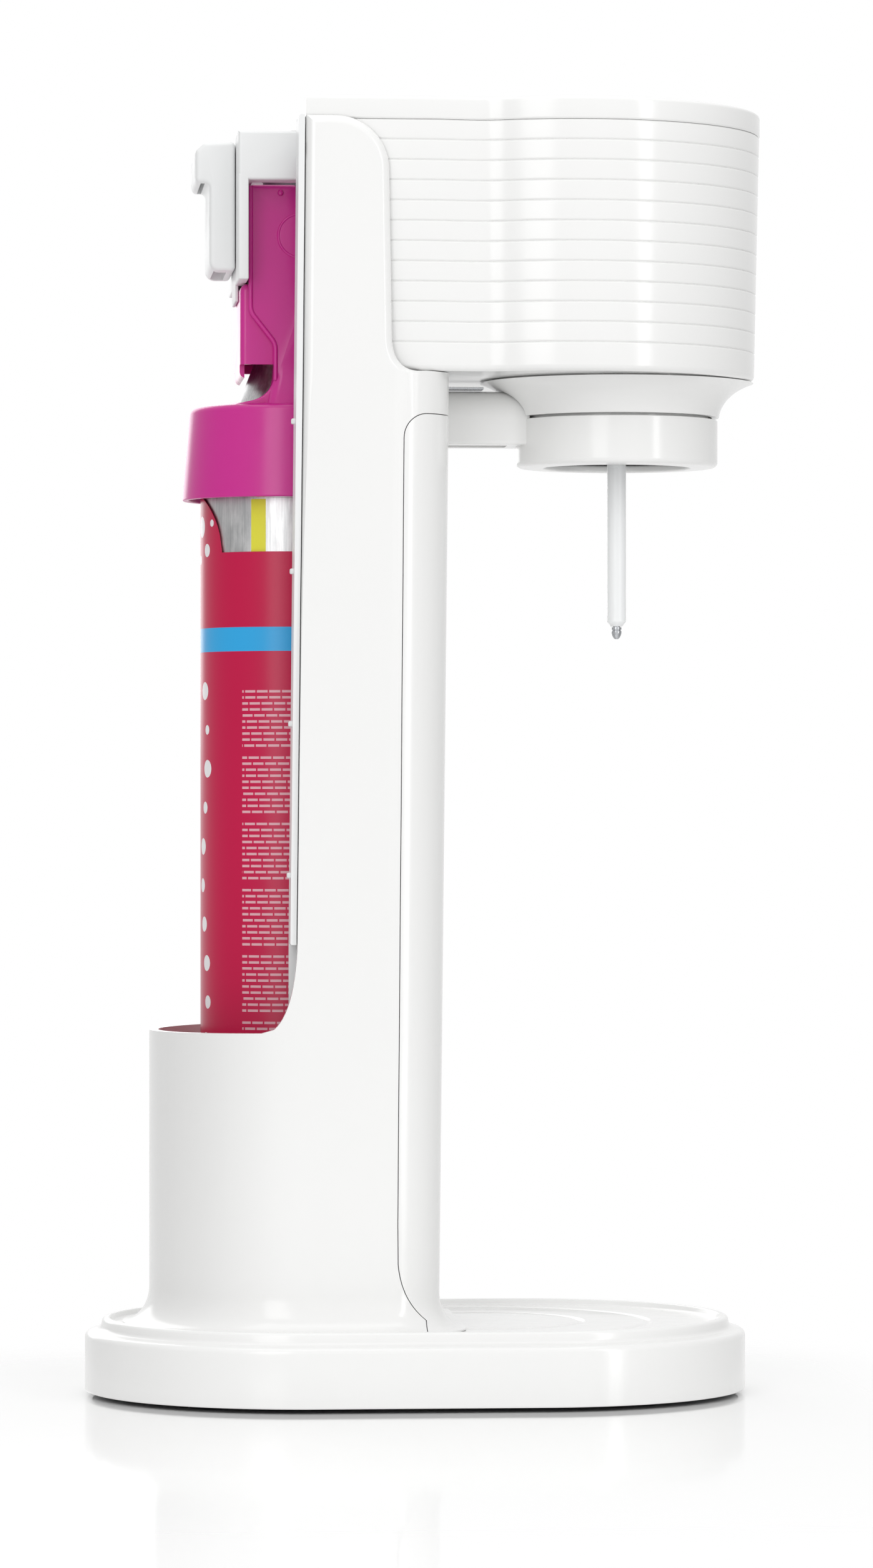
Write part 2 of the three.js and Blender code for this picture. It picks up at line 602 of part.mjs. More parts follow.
function guard() {
  const { low, top, lowRadius, topRadius, half } = GUARD;
  const skirt = [
    [lowRadius, low], [topRadius + 0.1, top - 2], [topRadius - 0.8, top - 0.4], [topRadius - 2.4, top],
    [24, top + 1], [24, top - 1], [topRadius - 2.6, top - 2.4], [lowRadius - 2, low], [lowRadius, low],
  ];
  const keep = box(-60, 0, -40, 40, 322, 410).add(box(-90, 0, -50, 50, 290, 336));
  const rearGap = disc(24, top - 3, 345, GAS.x, 0, 40);
  const tower = across(guardProfile(0), half, 1.2).subtract(across(guardProfile(2), half - 2))
    .subtract(disc(28.4, 310, 321.9, GAS.x));
  const foot = box(-52, -21, -half, half, 322, top + 1)
    .subtract(box(-49.4, -24, 2 - half, half - 2, 300, 400));
  const shoulderRoom = turned([
    [0, 296], [30.6, 296], [30.6, 303], [29.2, 309], [26.8, 317], [22.8, 326.4], [18.4, 334.4], [14.6, 341],
    [13.2, 347], [13.2, 353], [0, 353],
  ], GAS.x, 0, 40);
  const grip = box(-62.7, -50, 2 - half, half - 2, 340, 371.2)
    .subtract(box(-61.2, -50, 4 - half, half - 4, 338, 369.6));
  const boss = mirrored((side) => {
    const plug = new THREE.CylinderGeometry(7.2, 7.2, 1, 28);
    return solid(plug.translate(-43, side * (half + 0.4), 387));
  });
  return turned(skirt, GAS.x, 0, 40).subtract(rearGap.subtract(keep)).add(tower).add(foot).add(grip).add(boss)
    .subtract(shoulderRoom)
    .subtract(disc(7.5, 380, 410, GAS.x, 0, 28))
    .subtract(disc(12.6, 350, 400, GAS.x, 0, 28));
}

// ---- Cylinder lever: a fork on two pins with a finger grip behind it.

function leverYoke() {
  const { x, z, half, rear, low, top, pin } = LEVER;
  const side = new THREE.Shape();
  side.moveTo(rear, low);
  side.lineTo(x, low);
  side.absarc(x, (low + top) / 2, (top - low) / 2, -Math.PI / 2, Math.PI / 2);
  side.lineTo(rear, top);
  const plate = box(rear, rear + 3.4, -half, half, 371.5, low + 1)
    .add(box(rear, rear + 1.1, -half, half, 366.2, 372));
  return across(side, half, 0.8).subtract(box(-59, 0, -28, 28, 390, 430)).add(plate)
    .subtract(crossBar(pin + 0.2, -60, 60, x, z));
}

function leverGrip() {
  const back = LEVER.rear - GAP;
  const shape = new THREE.Shape();
  shape.moveTo(back, 418.9);
  shape.lineTo(-73.6, 418);
  shape.quadraticCurveTo(-77.4, 417.6, -77.4, 414);
  shape.lineTo(-77.2, 408);
  shape.quadraticCurveTo(-76.9, 405, -74.6, 405);
  shape.lineTo(-73.1, 406.8);
  shape.lineTo(-72.6, 379);
  shape.quadraticCurveTo(-72.4, 375.6, -69, 375.6);
  shape.lineTo(back, 375.6);
  return across(shape, 20, 1.2, 3).subtract(box(-70.6, back - 2, -15, 15, 370, 379));
}

const leverPin = (side) =>
  crossBar(LEVER.pin, Math.min(side * 31, side * 46), Math.max(side * 31, side * 46), LEVER.x, LEVER.z);

add("base_shell", baseShell(), WHITE);
add("base_cover", baseCover(), GREY);
FEET.forEach(([x, y], i) => add(`foot_${i + 1}`, foot(x, y), RUBBER));
BASE_SCREWS.forEach(([x, y], i) => add(`base_screw_${i + 1}`, screw(x, y, 1.9, 14), STEEL));
TOWER_SCREWS.forEach(([x, y], i) => add(`tower_screw_${i + 1}`, screw(x, y, 19.9, 31), STEEL));
add("tower_shell", towerShell(), WHITE);
add("front_cover", frontCover(), WHITE);
add("bay_liner", bayLiner(), SATIN);
add("head_shell", headShell(), WHITE);
add("head_top", headTop(), WHITE);
add("head_underside", headUnderside(), WHITE);
add("button", button(), SATIN);
add("button_tray", buttonTray(), SATIN);
add("button_spring", buttonSpring(), STEEL);
add("actuator_beam", actuatorBeam(), STEEL);
add("actuator_pin", crossBar(BEAM.pin, -7.6, 7.6, BEAM.x, BEAM.z + 0.6, 16), STEEL);
add("receiver", receiver(), GREY);
add("receiver_seal", receiverSeal(), RUBBER);
add("plunger", plunger(), STEEL);
add("gas_hose", gasHose(), TRANSLUCENT);
add("bottle_collar", bottleCollar(), WHITE);
add("collar_liner", collarLiner(), GREY);
add("bottle_gasket", bottleGasket(), RUBBER);
add("nozzle", nozzle(), TRANSLUCENT);
add("nozzle_tip", nozzleTip(), STEEL);
add("nozzle_block", nozzleBlock(), GREY);
add("relief_valve", reliefValve(), BRASS);
add("holder_pin", crossBar(HINGE.pin, -8.4, 8.4, HINGE.x, HINGE.z), STEEL);
add("snap_latch", snapLatch(), STEEL);
add("gas_cylinder", gasCylinder(), ALUMINIUM);
add("gas_label", gasLabel(), CRIMSON);
add("valve_body", valveBody(), GREY);
add("valve_pin", valvePin(), STEEL);
add("cylinder_guard", guard(), MAGENTA);
add("lever_yoke", leverYoke(), SATIN);
add("lever_grip", leverGrip(), SATIN);
add("lever_pin_left", leverPin(1), STEEL);
add("lever_pin_right", leverPin(-1), STEEL);

export default machine;
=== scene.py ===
import math

import bmesh
import bpy
import numpy as np
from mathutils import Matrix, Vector


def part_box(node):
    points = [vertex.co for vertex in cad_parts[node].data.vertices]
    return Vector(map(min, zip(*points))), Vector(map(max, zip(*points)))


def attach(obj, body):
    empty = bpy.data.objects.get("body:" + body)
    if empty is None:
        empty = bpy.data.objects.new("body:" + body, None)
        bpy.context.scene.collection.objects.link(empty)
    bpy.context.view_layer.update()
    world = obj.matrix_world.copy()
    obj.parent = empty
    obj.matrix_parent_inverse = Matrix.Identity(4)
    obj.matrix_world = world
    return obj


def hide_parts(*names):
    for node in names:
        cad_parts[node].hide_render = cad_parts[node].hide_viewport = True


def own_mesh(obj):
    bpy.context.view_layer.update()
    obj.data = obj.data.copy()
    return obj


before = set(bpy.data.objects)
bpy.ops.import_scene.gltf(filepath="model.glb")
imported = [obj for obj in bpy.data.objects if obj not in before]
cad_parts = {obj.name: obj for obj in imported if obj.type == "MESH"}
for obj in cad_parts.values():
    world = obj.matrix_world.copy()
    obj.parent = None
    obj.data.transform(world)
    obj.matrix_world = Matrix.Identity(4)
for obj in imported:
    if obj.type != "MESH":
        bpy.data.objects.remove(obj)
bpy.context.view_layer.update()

# ---- Base shell ------------------------------------------------------
# A glossy white ABS moulding with round ends, hollow underneath. A soft shoulder climbs to a
# rolled rim, the deck lies 2 mm below the rim, and two ripples run round the bottle's place.


def span(node):
    """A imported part's box in millimetres: x0, x1, y0, y1, z0, z1."""
    low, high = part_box(node)
    return [1000 * end for pair in zip(low, high) for end in pair]


def skin(name, rings, ends="capped"):
    """A mesh through rings of equal point count, in millimetres. Its ends are capped, joined
    to each other as in a tube's wall, or left to meet at a point on the axis."""
    rings = np.array(rings, float)
    rows, around = rings.shape[:2]
    grid = np.arange(rows * around).reshape(rows, around)
    if ends == "joined":
        grid = np.vstack([grid, grid[:1]])
    faces = []
    for low, high in zip(grid, grid[1:]):
        faces += [list(map(int, f)) for f in zip(low, np.roll(low, -1), np.roll(high, -1), high)]
    if ends == "capped":
        faces += [list(map(int, grid[0][::-1])), list(map(int, grid[-1]))]
    mesh = bpy.data.meshes.new(name)
    mesh.from_pydata((rings.reshape(-1, 3) / 1000).tolist(), [], faces)
    tidy = bmesh.new()
    tidy.from_mesh(mesh)
    bmesh.ops.remove_doubles(tidy, verts=tidy.verts, dist=1e-6)
    bmesh.ops.dissolve_degenerate(tidy, dist=1e-7, edges=tidy.edges)
    bmesh.ops.recalc_face_normals(tidy, faces=tidy.faces)
    tidy.to_mesh(mesh)
    tidy.free()
    piece = bpy.data.objects.new(name, mesh)
    bpy.context.scene.collection.objects.link(piece)
    return piece


def rounded(corners, steps=6, closed=True):
    """The points of an outline whose corners (u, v, radius) are eased into arcs."""
    points = []
    for i, corner in enumerate(corners):
        here = np.array(corner[:2], float)
        radius = corner[2] if len(corner) > 2 else 0
        if not radius or (not closed and i in (0, len(corners) - 1)):
            points.append(here)
            continue
        before = np.array(corners[i - 1][:2], float) - here
        after = np.array(corners[(i + 1) % len(corners)][:2], float) - here
        before /= np.linalg.norm(before)
        after /= np.linalg.norm(after)
        half = math.acos(max(-1.0, min(1.0, float(before @ after)))) / 2
        middle = (before + after) / np.linalg.norm(before + after)
        centre = here + middle * radius / math.sin(half)
        start = here + before * radius / math.tan(half) - centre
        end = here + after * radius / math.tan(half) - centre
        turn = math.atan2(start[0] * end[1] - start[1] * end[0], float(start @ end))
        for step in range(steps + 1):
            a = turn * step / steps
            c, s = math.cos(a), math.sin(a)
            points.append(centre + [start[0] * c - start[1] * s, start[0] * s + start[1] * c])
    return points


def full_turn(steps):
    """Even angles once round, in radians."""
    return np.linspace(0, 2 * np.pi, steps, endpoint=False)


def colour(code):
    """A colour written as sRGB hex, as the linear red, green, blue and alpha of a socket."""
    parts = [int(code[i:i + 2], 16) / 255 for i in (1, 3, 5)]
    return [v / 12.92 if v <= 0.04045 else ((v + 0.055) / 1.055) ** 2.4 for v in parts] + [1]


def node(tree, kind, inputs=None, **settings):
    """Adds a shader node: inputs are values, or the sockets that feed them."""
    made = tree.nodes.new("ShaderNode" + kind)
    for key, value in settings.items():
        setattr(made, key, value)
    for key, value in (inputs or {}).items():
        if isinstance(value, bpy.types.NodeSocket):
            tree.links.new(value, made.inputs[key])
        else:
            made.inputs[key].default_value = value
    return made


def empty_material(name):
    """A new material, with the tree that its nodes go into and the place of each point."""
    material = bpy.data.materials.new(name)
    material.use_nodes = True
    tree = material.node_tree
    tree.nodes.clear()
    return material, tree, node(tree, "TexCoord").outputs["Object"]


def noise(tree, place, size, detail):
    """Noise whose patches are about size across, in millimetres."""
    return node(tree, "TexNoise", {"Vector": place, "Scale": 1000 / size, "Detail": detail}).outputs[0]


def blended(tree, share, first, second):
    """A colour between two others."""
    return node(tree, "Mix", {0: share, 6: first, 7: second}, data_type="RGBA").outputs[2]


def ranged(tree, marks, low, high, start=0.3, end=0.7):
    """A value that goes from low to high as the marks go from start to end."""
    return node(tree, "MapRange", {0: marks, 1: start, 2: end, 3: low, 4: high}).outputs[0]


def bumped(tree, height, depth, strength=1.0):
    """A normal pushed about by a height, depth in millimetres."""
    made = node(tree, "Bump", {"Height": height, "Distance": depth / 1000, "Strength": strength})
    return made.outputs[0]


def surfaced(material, tree, values):
    """Ends a material in one principled surface."""
    surface = node(tree, "BsdfPrincipled", values)
    node(tree, "OutputMaterial", {"Surface": surface.outputs[0]})
    return material


def moulded_plastic(name, light, dark, roughness, grain, depth, **shader):
    """A moulded plastic. The melt's flow shifts its tint slightly over 60 mm, handling changes
    its gloss over 15 mm, and the mould leaves a surface of that grain and depth, in mm."""
    material, tree, place = empty_material(name)
    tint = blended(tree, noise(tree, place, 60, 2), colour(light), colour(dark))
    gloss = ranged(tree, noise(tree, place, 15, 3), 0.85 * roughness, 1.2 * roughness)
    relief = bumped(tree, noise(tree, place, grain, 2), depth)
    return surfaced(material, tree, {"Base Color": tint, "Roughness": gloss, "Normal": relief, **shader})


def settle(piece, body, slot, material, *nodes, crease=32):
    """Shades the piece smooth up to the crease angle and puts it in place of its CAD nodes."""
    piece.data.materials.clear()
    piece.data.materials.append(material)
    piece.data.shade_smooth()
    piece.data.set_sharp_from_angle(angle=math.radians(crease))
    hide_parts(*nodes)
    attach(piece, body)
    return piece


# Glossy ABS from a polished mould: it reflects the lamps sharply, with a faint orange peel.
gloss_abs = moulded_plastic("white_abs_polished_mould", "#f0f0ef", "#eeeeed", 0.16, 3.5, 0.004, IOR=1.53)

base_rear, base_front, _, base_radius, base_low, base_rim = span("base_shell")
DECK = base_rim - 2
RAYS = 320
RIPPLE_X = 20.5
RIPPLES = (33, 55.5)
RIPPLE_HALF = 1.9
RIPPLE_DEPTH = 0.8
ray_angles = full_turn(RAYS)


def base_ring(inset, z):
    """The base's round-ended outline, moved in by inset, at height z, one point to each ray."""
    radius = base_radius - inset
    ends = (base_rear + base_radius, base_front - base_radius)
    ring = []
    for c, s in zip(np.cos(ray_angles), np.sin(ray_angles)):
        reach = radius / max(abs(s), 1e-9)
        side = RIPPLE_X + reach * c
        if not ends[0] <= side <= ends[1]:
            offset = RIPPLE_X - (ends[1] if c > 0 else ends[0])
            reach = math.sqrt(radius ** 2 - (offset * s) ** 2) - offset * c
        ring.append((RIPPLE_X + reach * c, reach * s, z))
    return ring


def deck_circle(radius, z):
    return [(RIPPLE_X + radius * c, radius * s, z) for c, s in zip(np.cos(ray_angles), np.sin(ray_angles))]


base_rings = [deck_circle(r, DECK) for r in (0, 8, 18, 28)]
for middle in RIPPLES:
    for step in np.linspace(-1, 1, 13):
        dip = RIPPLE_DEPTH * math.cos(step * math.pi / 2) ** 2
        base_rings.append(deck_circle(middle + step * RIPPLE_HALF, DECK - dip))
    base_rings += [deck_circle(middle + RIPPLE_HALF + 0.8, DECK)]
WALL = 2.4
edge_corners = [
    (11.4, DECK), (9.5, DECK, 1.3), (8.3, base_rim, 0.85), (6.0, base_rim, 1.5), (5.2, 22.2, 1.9),
    (0, 21.2, 2.2), (0, base_low, 0.6), (WALL, base_low), (WALL, DECK - WALL - 3, 1.5), (9, DECK - WALL),
]
base_rings += [base_ring(inset, z) for inset, z in rounded(edge_corners, 7, closed=False)]
base_rings += [deck_circle(r, DECK - WALL) for r in (56, 30, 0)]
base_shell = skin("base_shell_visible", base_rings, "open")
settle(base_shell, "housing", "white_abs", gloss_abs, "base_shell")

# ---- Base cover, feet and screws -------------------------------------
# A grey nylon plate closes the base from below. Four soft rubber feet are pressed into it, and
# four plated screws hold it; four more go up through the deck into the tower.


def turned(name, profile, x, across=0, segments=96, along="Z"):
    """A piece turned about an axis through x, from (radius, height) pairs. The axis stands up,
    or runs along Y with across as its height."""
    angles = full_turn(segments)
    rings = []
    for radius, level in profile:
        u, v = x + radius * np.cos(angles), across + radius * np.sin(angles)
        w = np.full(segments, level)
        rings.append(np.stack([u, v, w] if along == "Z" else [u, w, v], axis=1))
    on_axis = abs(profile[0][0]) < 1e-6 and abs(profile[-1][0]) < 1e-6
    return skin(name, rings, "open" if on_axis else "joined")


def combine(piece, how, *tools):
    """Joins, cuts or trims a piece by others, which are used up."""
    for tool in tools:
        step = piece.modifiers.new("step", "BOOLEAN")
        step.operation = how
        step.solver = "MANIFOLD"
        step.object = tool
    graph = bpy.context.evaluated_depsgraph_get()
    made = bpy.data.meshes.new_from_object(piece.evaluated_get(graph))
    piece.modifiers.clear()
    piece.data = made
    for tool in tools:
        bpy.data.objects.remove(tool)
    return piece


def inset_outline(points, distance):
    """An outline moved inwards, with mitred corners."""
    points = np.array(points, float)
    ahead = np.roll(points, -1, 0) - points
    ahead /= np.linalg.norm(ahead, axis=1)[:, None]
    left = np.stack([-ahead[:, 1], ahead[:, 0]], axis=1)
    before = np.roll(left, 1, 0)
    mitre = (left + before) / (1 + (left * before).sum(1))[:, None]
    x, z = points[:, 0], points[:, 1]
    way = np.sign((x * np.roll(z, -1) - np.roll(x, -1) * z).sum())
    return points + mitre * distance * way


def quarter_round(size, steps, start=0.0):
    """How far a rounded edge has run along and what is left across, at each step."""
    turns = np.linspace(start, math.pi / 2, steps + 1)
    return [(size * (1 - math.cos(a)), size * (1 - math.sin(a))) for a in turns]


def plate(name, outline, y0, y1, edge=0, steps=5):
    """A side-view outline in X and Z, solid from y0 to y1, with rounded side edges."""
    levels = [(y0, 0), (y1, 0)]
    if edge:
        start = [(y0 + along, inset) for along, inset in quarter_round(edge, steps)]
        levels = start + [(y0 + y1 - y, inset) for y, inset in reversed(start)]
    rings = [[(x, y, z) for x, z in inset_outline(outline, inset)] for y, inset in levels]
    return skin(name, rings)


def block(x0, x1, y0, y1, z0, z1, edge=0):
    """A box, mostly for cutting, with rounded edges if asked."""
    corners = [(x0, z0, edge), (x1, z0, edge), (x1, z1, edge), (x0, z1, edge)]
    return plate("block", rounded(corners, 4), y0, y1, edge, 4)


# Rubber keeps the mould's matt texture and takes dust, so its gloss is low and patchy.
foot_rubber = moulded_plastic("black_rubber_matt_mould", "#2a2b2d", "#343537", 0.75, 0.8, 0.03)
# Glass-filled nylon comes from a textured mould: an even grey with a satin sheen.
grey_nylon = moulded_plastic("grey_nylon_textured_mould", "#8b8e91", "#7f8285", 0.5, 0.7, 0.015)

for number in range(1, 5):
    x0, x1, y0, y1, z0, z1 = span(f"foot_{number}")
    x, y, radius = (x0 + x1) / 2, (y0 + y1) / 2, (x1 - x0) / 2
    sole = [
        (0, 0.35), (radius - 4, 0.35, 0.2), (radius - 3.4, 0.05, 0.2), (radius - 0.1, 0, 0.7),
        (radius, 1.5, 0.3),
    ]
    stem = [(2.9, 1.5), (2.7, 1.9, 0.2), (2.7, z1 - 0.6, 0.4), (2.1, z1, 0.2), (0, z1)]
    foot = turned(f"foot_{number}_visible", rounded(sole + stem, 4, closed=False), x, y, 64)
    settle(foot, "housing", "rubber", foot_rubber, f"foot_{number}")


def plated_metal(name, code, roughness, scratch):
    """A plated or turned metal: fine marks of the given spacing, in mm, roughen it in patches."""
    material, tree, place = empty_material(name)
    marks = noise(tree, place, scratch, 4)
    values = {"Base Color": colour(code), "Metallic": 1, "Normal": bumped(tree, marks, 0.01)}
    gloss = ranged(tree, marks, 0.7 * roughness, 1.4 * roughness)
    return surfaced(material, tree, {**values, "Roughness": gloss})


# Zinc-plated steel is bright with a slightly uneven polish; brass is yellow and softly turned.
plated_steel = plated_metal("zinc_plated_steel", "#c2c4c7", 0.26, 0.5)
turned_brass = plated_metal("turned_brass", "#d2b064", 0.3, 0.6)


def refinish(name, material, edge=0.25):
    """Gives a CAD part that is right in shape its real surface, and breaks its sharp edges."""
    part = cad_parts[name]
    part.data.materials.clear()
    part.data.materials.append(material)
    weld = part.modifiers.new("weld", "WELD")
    weld.merge_threshold = 0.00002
    if not edge:
        return
    bevel = part.modifiers.new("broken_edges", "BEVEL")
    bevel.width = edge / 1000
    bevel.segments = 2
    bevel.limit_method = "ANGLE"
    bevel.angle_limit = math.radians(40)
    bevel.harden_normals = True


def cross_screw(name):
    """A pan-head screw with a cross recess and a thread, seen from below."""
    x0, x1, y0, y1, z0, z1 = span(name)
    x, y, head = (x0 + x1) / 2, (y0 + y1) / 2, (x1 - x0) / 2
    profile = rounded([(0, z0), (head, z0, 0.7), (head, z0 + 1, 0.2), (1.4, z0 + 1.2)], 4, closed=False)
    level = z0 + 1.6
    while level < z1 - 1.2:
        profile += [(1.15, level), (1.4, level + 0.3), (1.15, level + 0.6)]
        level += 0.9
    body = turned(name + "_visible", profile + [(0.5, z1), (0, z1)], x, y, 40)
    arms = [block(x - a, x + a, y - b, y + b, z0 - 1, z0 + 0.7) for a, b in ((1.7, 0.3), (0.3, 1.7))]
    combine(arms[0], "UNION", arms[1])
    combine(body, "DIFFERENCE", arms[0])
    settle(body, "housing", "steel", plated_steel, name)


for number in range(1, 5):
    cross_screw(f"base_screw_{number}")
    cross_screw(f"tower_screw_{number}")
refinish("base_cover", grey_nylon)

# ---- Tower shell -----------------------------------------------------
# One glossy ABS moulding: a channel open to the rear, leaning slightly forwards, with the round
# pocket for the gas cylinder at its foot and two rounded ears that clasp the head.

TOWER_HALF, tower_low, ear_top = span("tower_shell")[3:]
BAY_REAR = -42.8
POCKET_RIM = 123
POCKET_FLOOR = 27.2
POCKET_REAR = -92.2
POCKET_DEPTH = BAY_REAR - POCKET_REAR
LEAN = 0.0085
REAR_LEAN = 0.0096
TOWER_JOIN = 340.1
FRONT = 5.2
CORNER = 20
TAPER = 8 / 316.1
FOOT_SPREAD = 9
FOOT_RISE = 12


def tower_half(z):
    return TOWER_HALF - max(0, TOWER_JOIN - z) * TAPER


def arc(x, y, rx, ry, start, end, steps):
    """Points on an arc or a quarter of an ellipse, between two angles in degrees."""
    angles = np.radians(np.linspace(start, end, steps + 1))
    return list(zip(x + rx * np.cos(angles), y + ry * np.sin(angles)))


def tower_ring(z, inset=0, front_inset=None, grow=0, rear=None):
    """The tower's outline at height z: half an ellipse round the pocket, straight sides and a
    rounded front. With rear, the outline runs straight back to that X instead."""
    front_inset = inset if front_inset is None else front_inset
    half = tower_half(z) - inset + grow
    front = FRONT + LEAN * (z - 313) - front_inset + grow
    corner = CORNER - front_inset + grow
    if rear is None:
        back = arc(BAY_REAR, 0, POCKET_DEPTH - inset + grow, half, 90, 270, 72)
    else:
        back = [(rear, half), (rear, -half)]
    right = arc(front - corner, corner - half, corner, corner, -90, 0, 14)
    left = arc(front - corner, half - corner, corner, corner, 0, 90, 14)
    return [(x, y, z) for x, y in back + right + left]


def tower_form(name):
    low = tower_low
    rings = [tower_ring(low, grow=FOOT_SPREAD)]
    for rise, spread in quarter_round(1, 14):
        rings.append(tower_ring(low + 0.5 + FOOT_RISE * rise, grow=FOOT_SPREAD * spread))
    rings += [tower_ring(z) for z in (POCKET_RIM, TOWER_JOIN, ear_top + 1)]
    return skin(name, rings)


def rear_edge(z):
    return BAY_REAR - REAR_LEAN * (ear_top - z)


def blend_curve(start, control, end, steps=10):
    """A quadratic curve's points, without its first."""
    t = np.linspace(0, 1, steps + 1)[1:, None]
    start, control, end = (np.array(p, float) for p in (start, control, end))
    return [tuple(p) for p in (1 - t) ** 2 * start + 2 * t * (1 - t) * control + t ** 2 * end]


EAR_FRONT = -15.4
EAR_RADIUS = 17.7


def tower_side():
    """The side view that trims the tower: pocket rim, gusset, leaning rear edge and ear."""
    outline = [(-130, 10), (60, 10), (60, TOWER_JOIN), (-6.2, TOWER_JOIN)]
    outline += blend_curve(outline[-1], (-13.8, TOWER_JOIN + 0.5), (-14.5, 350))
    outline += arc(EAR_FRONT - EAR_RADIUS, ear_top - EAR_RADIUS, EAR_RADIUS, EAR_RADIUS, 0, 90, 20)
    outline += [(rear_edge(ear_top), ear_top), (rear_edge(150), 150)]
    outline += blend_curve(outline[-1], (rear_edge(140) - 1, 130), (-53, POCKET_RIM + 1.2), 12)
    return outline + [(-57, POCKET_RIM), (-130, POCKET_RIM - 1)]


COVER_SEAM = -10.6
COVER_TOP = 326


def cover_side(gap=0):
    """The front cover's side view, grown by a gap where the tower makes room for it."""
    seam, top, radius = COVER_SEAM - gap, COVER_TOP + gap, 8 + gap
    outline = [(60, 10), (60, top)]
    outline += arc(seam + radius, top - radius, radius, radius, 90, 180, 12)
    sweep = blend_curve((seam - 1.6, 50), (seam - 1.4, 36), (seam + 8, 28.5))
    return outline + [(seam - 1.6, 60)] + sweep + [(seam + 8.6, 10)]


SEAM_GAP = 0.3
TOWER_WALL = 3.2
COVER_WALL = 2.4
tower = tower_form("tower_shell_visible")
combine(tower, "INTERSECT", plate("side", tower_side(), -TOWER_HALF - 0.05, TOWER_HALF + 0.05, 3.6, 8))
cover_room = plate("room", cover_side(SEAM_GAP), -90, 90)
behind = [tower_ring(z, COVER_WALL + SEAM_GAP, rear=-60) for z in (10, TOWER_JOIN, ear_top)]
combine(cover_room, "DIFFERENCE", skin("behind", behind))
levels = (POCKET_FLOOR, TOWER_JOIN, ear_top + 9)
channel = skin("channel", [tower_ring(z, TOWER_WALL, 5.1, rear=-60) for z in levels])
combine(channel, "DIFFERENCE", block(-130, BAY_REAR, -80, 80, 0, 127))
pocket = skin("pocket", [tower_ring(z, 3) for z in (POCKET_FLOOR, 128)])
combine(pocket, "INTERSECT", block(-130, -8, -80, 80, 0, 200))
combine(tower, "DIFFERENCE", cover_room, channel, pocket)
settle(tower, "housing", "white_abs", gloss_abs, "tower_shell")

# ---- Front cover -----------------------------------------------------
# A glossy ABS half-shell snapped over the front of the tower. It follows the tower's faces to
# the seam, and its own foot sweeps out over the deck.

cover = tower_form("front_cover_visible")
combine(cover, "INTERSECT", plate("side", cover_side(), -90, 90))
inside = [tower_ring(z, COVER_WALL, rear=-60) for z in (10, TOWER_JOIN, ear_top)]
combine(cover, "DIFFERENCE", skin("inside", inside))
settle(cover, "housing", "white_abs", gloss_abs, "front_cover")

# ---- Liner of the gas bay --------------------------------------------
# A satin ABS lining behind the tower: its lip shows as a thin strip along the tower's rear
# edges, and small pips locate a back cover on it.


def rod(name, radius, low, high, x, across=0, segments=96, along="Z"):
    """A plain round bar from low to high on its axis, mostly for cutting."""
    return turned(name, [(0, low), (radius, low), (radius, high), (0, high)], x, across, segments, along)


# Spark-eroded moulds give ABS a fine even texture, so it looks a shade greyer than polished.
satin_abs = moulded_plastic("white_abs_spark_eroded_mould", "#ebecec", "#e8e9e9", 0.4, 0.6, 0.008, IOR=1.53)

BAY_HALF = 46
BAY_WALL = 2
BAY_FRONT = -4.2
BAY_LOW = 128
LIP = 2
LEVER_X = -42
LEVER_Z = 412.5
lip_low = rear_edge(152)
liner_side = [
    (BAY_FRONT, BAY_LOW), (BAY_FRONT, ear_top), (rear_edge(ear_top) - SEAM_GAP - LIP, ear_top),
    (lip_low - SEAM_GAP - LIP, 152), (lip_low - SEAM_GAP - LIP, BAY_LOW),
]
liner = plate("bay_liner_visible", rounded([(*p, 0.4) for p in liner_side], 3), -BAY_HALF, BAY_HALF)
lip_side = [
    (rear_edge(ear_top) - SEAM_GAP, ear_top, 0.2), (rear_edge(ear_top) - SEAM_GAP - LIP, ear_top, 1),
    (lip_low - SEAM_GAP - LIP, 152, 0.6), (lip_low - SEAM_GAP, 152, 0.2),
]
lip = plate("lip", rounded(lip_side, 4), -70, 70)
lip_trim = []
for z in (140, TOWER_JOIN, ear_top + 1):
    reach = tower_half(z) - 1.6
    lip_trim.append([(-60, -reach, z), (0, -reach, z), (0, reach, z), (-60, reach, z)])
combine(lip, "INTERSECT", skin("trim", lip_trim))
combine(liner, "UNION", lip)
inner = BAY_HALF - BAY_WALL
combine(
    liner, "DIFFERENCE",
    block(-90, BAY_FRONT - BAY_WALL, -inner, inner, 0, 500), block(-20, 5, -40, 40, 384, 430),
    rod("pin_hole", 2.7, -60, 60, LEVER_X, LEVER_Z, 40, "Y"),
)
for z in (174.8, 224.5, 274.5, 323.7):
    for side in (-1, 1):
        x = rear_edge(z) - SEAM_GAP - LIP
        pip = block(x - 1.2, x + 1.2, side * 52 - 1.6, side * 52 + 1.6, z - 0.9, z + 0.9, 0.5)
        combine(liner, "UNION", pip)
for y in (-30, -18, 18, 30):
    rib = block(BAY_FRONT - BAY_WALL - 1.2, BAY_FRONT - BAY_WALL + 0.5, y - 0.8, y + 0.8, 134, 378, 0.35)
    combine(liner, "UNION", rib)
settle(liner, "housing", "satin_white", satin_abs, "bay_liner")

# ---- Head shell and top cap ------------------------------------------
# Two glossy ABS mouldings: a drum with a straight neck, ringed by fine grooves 6.6 mm apart,
# and a plain cap with the round opening for the button. The lowest band is a deep plain one.

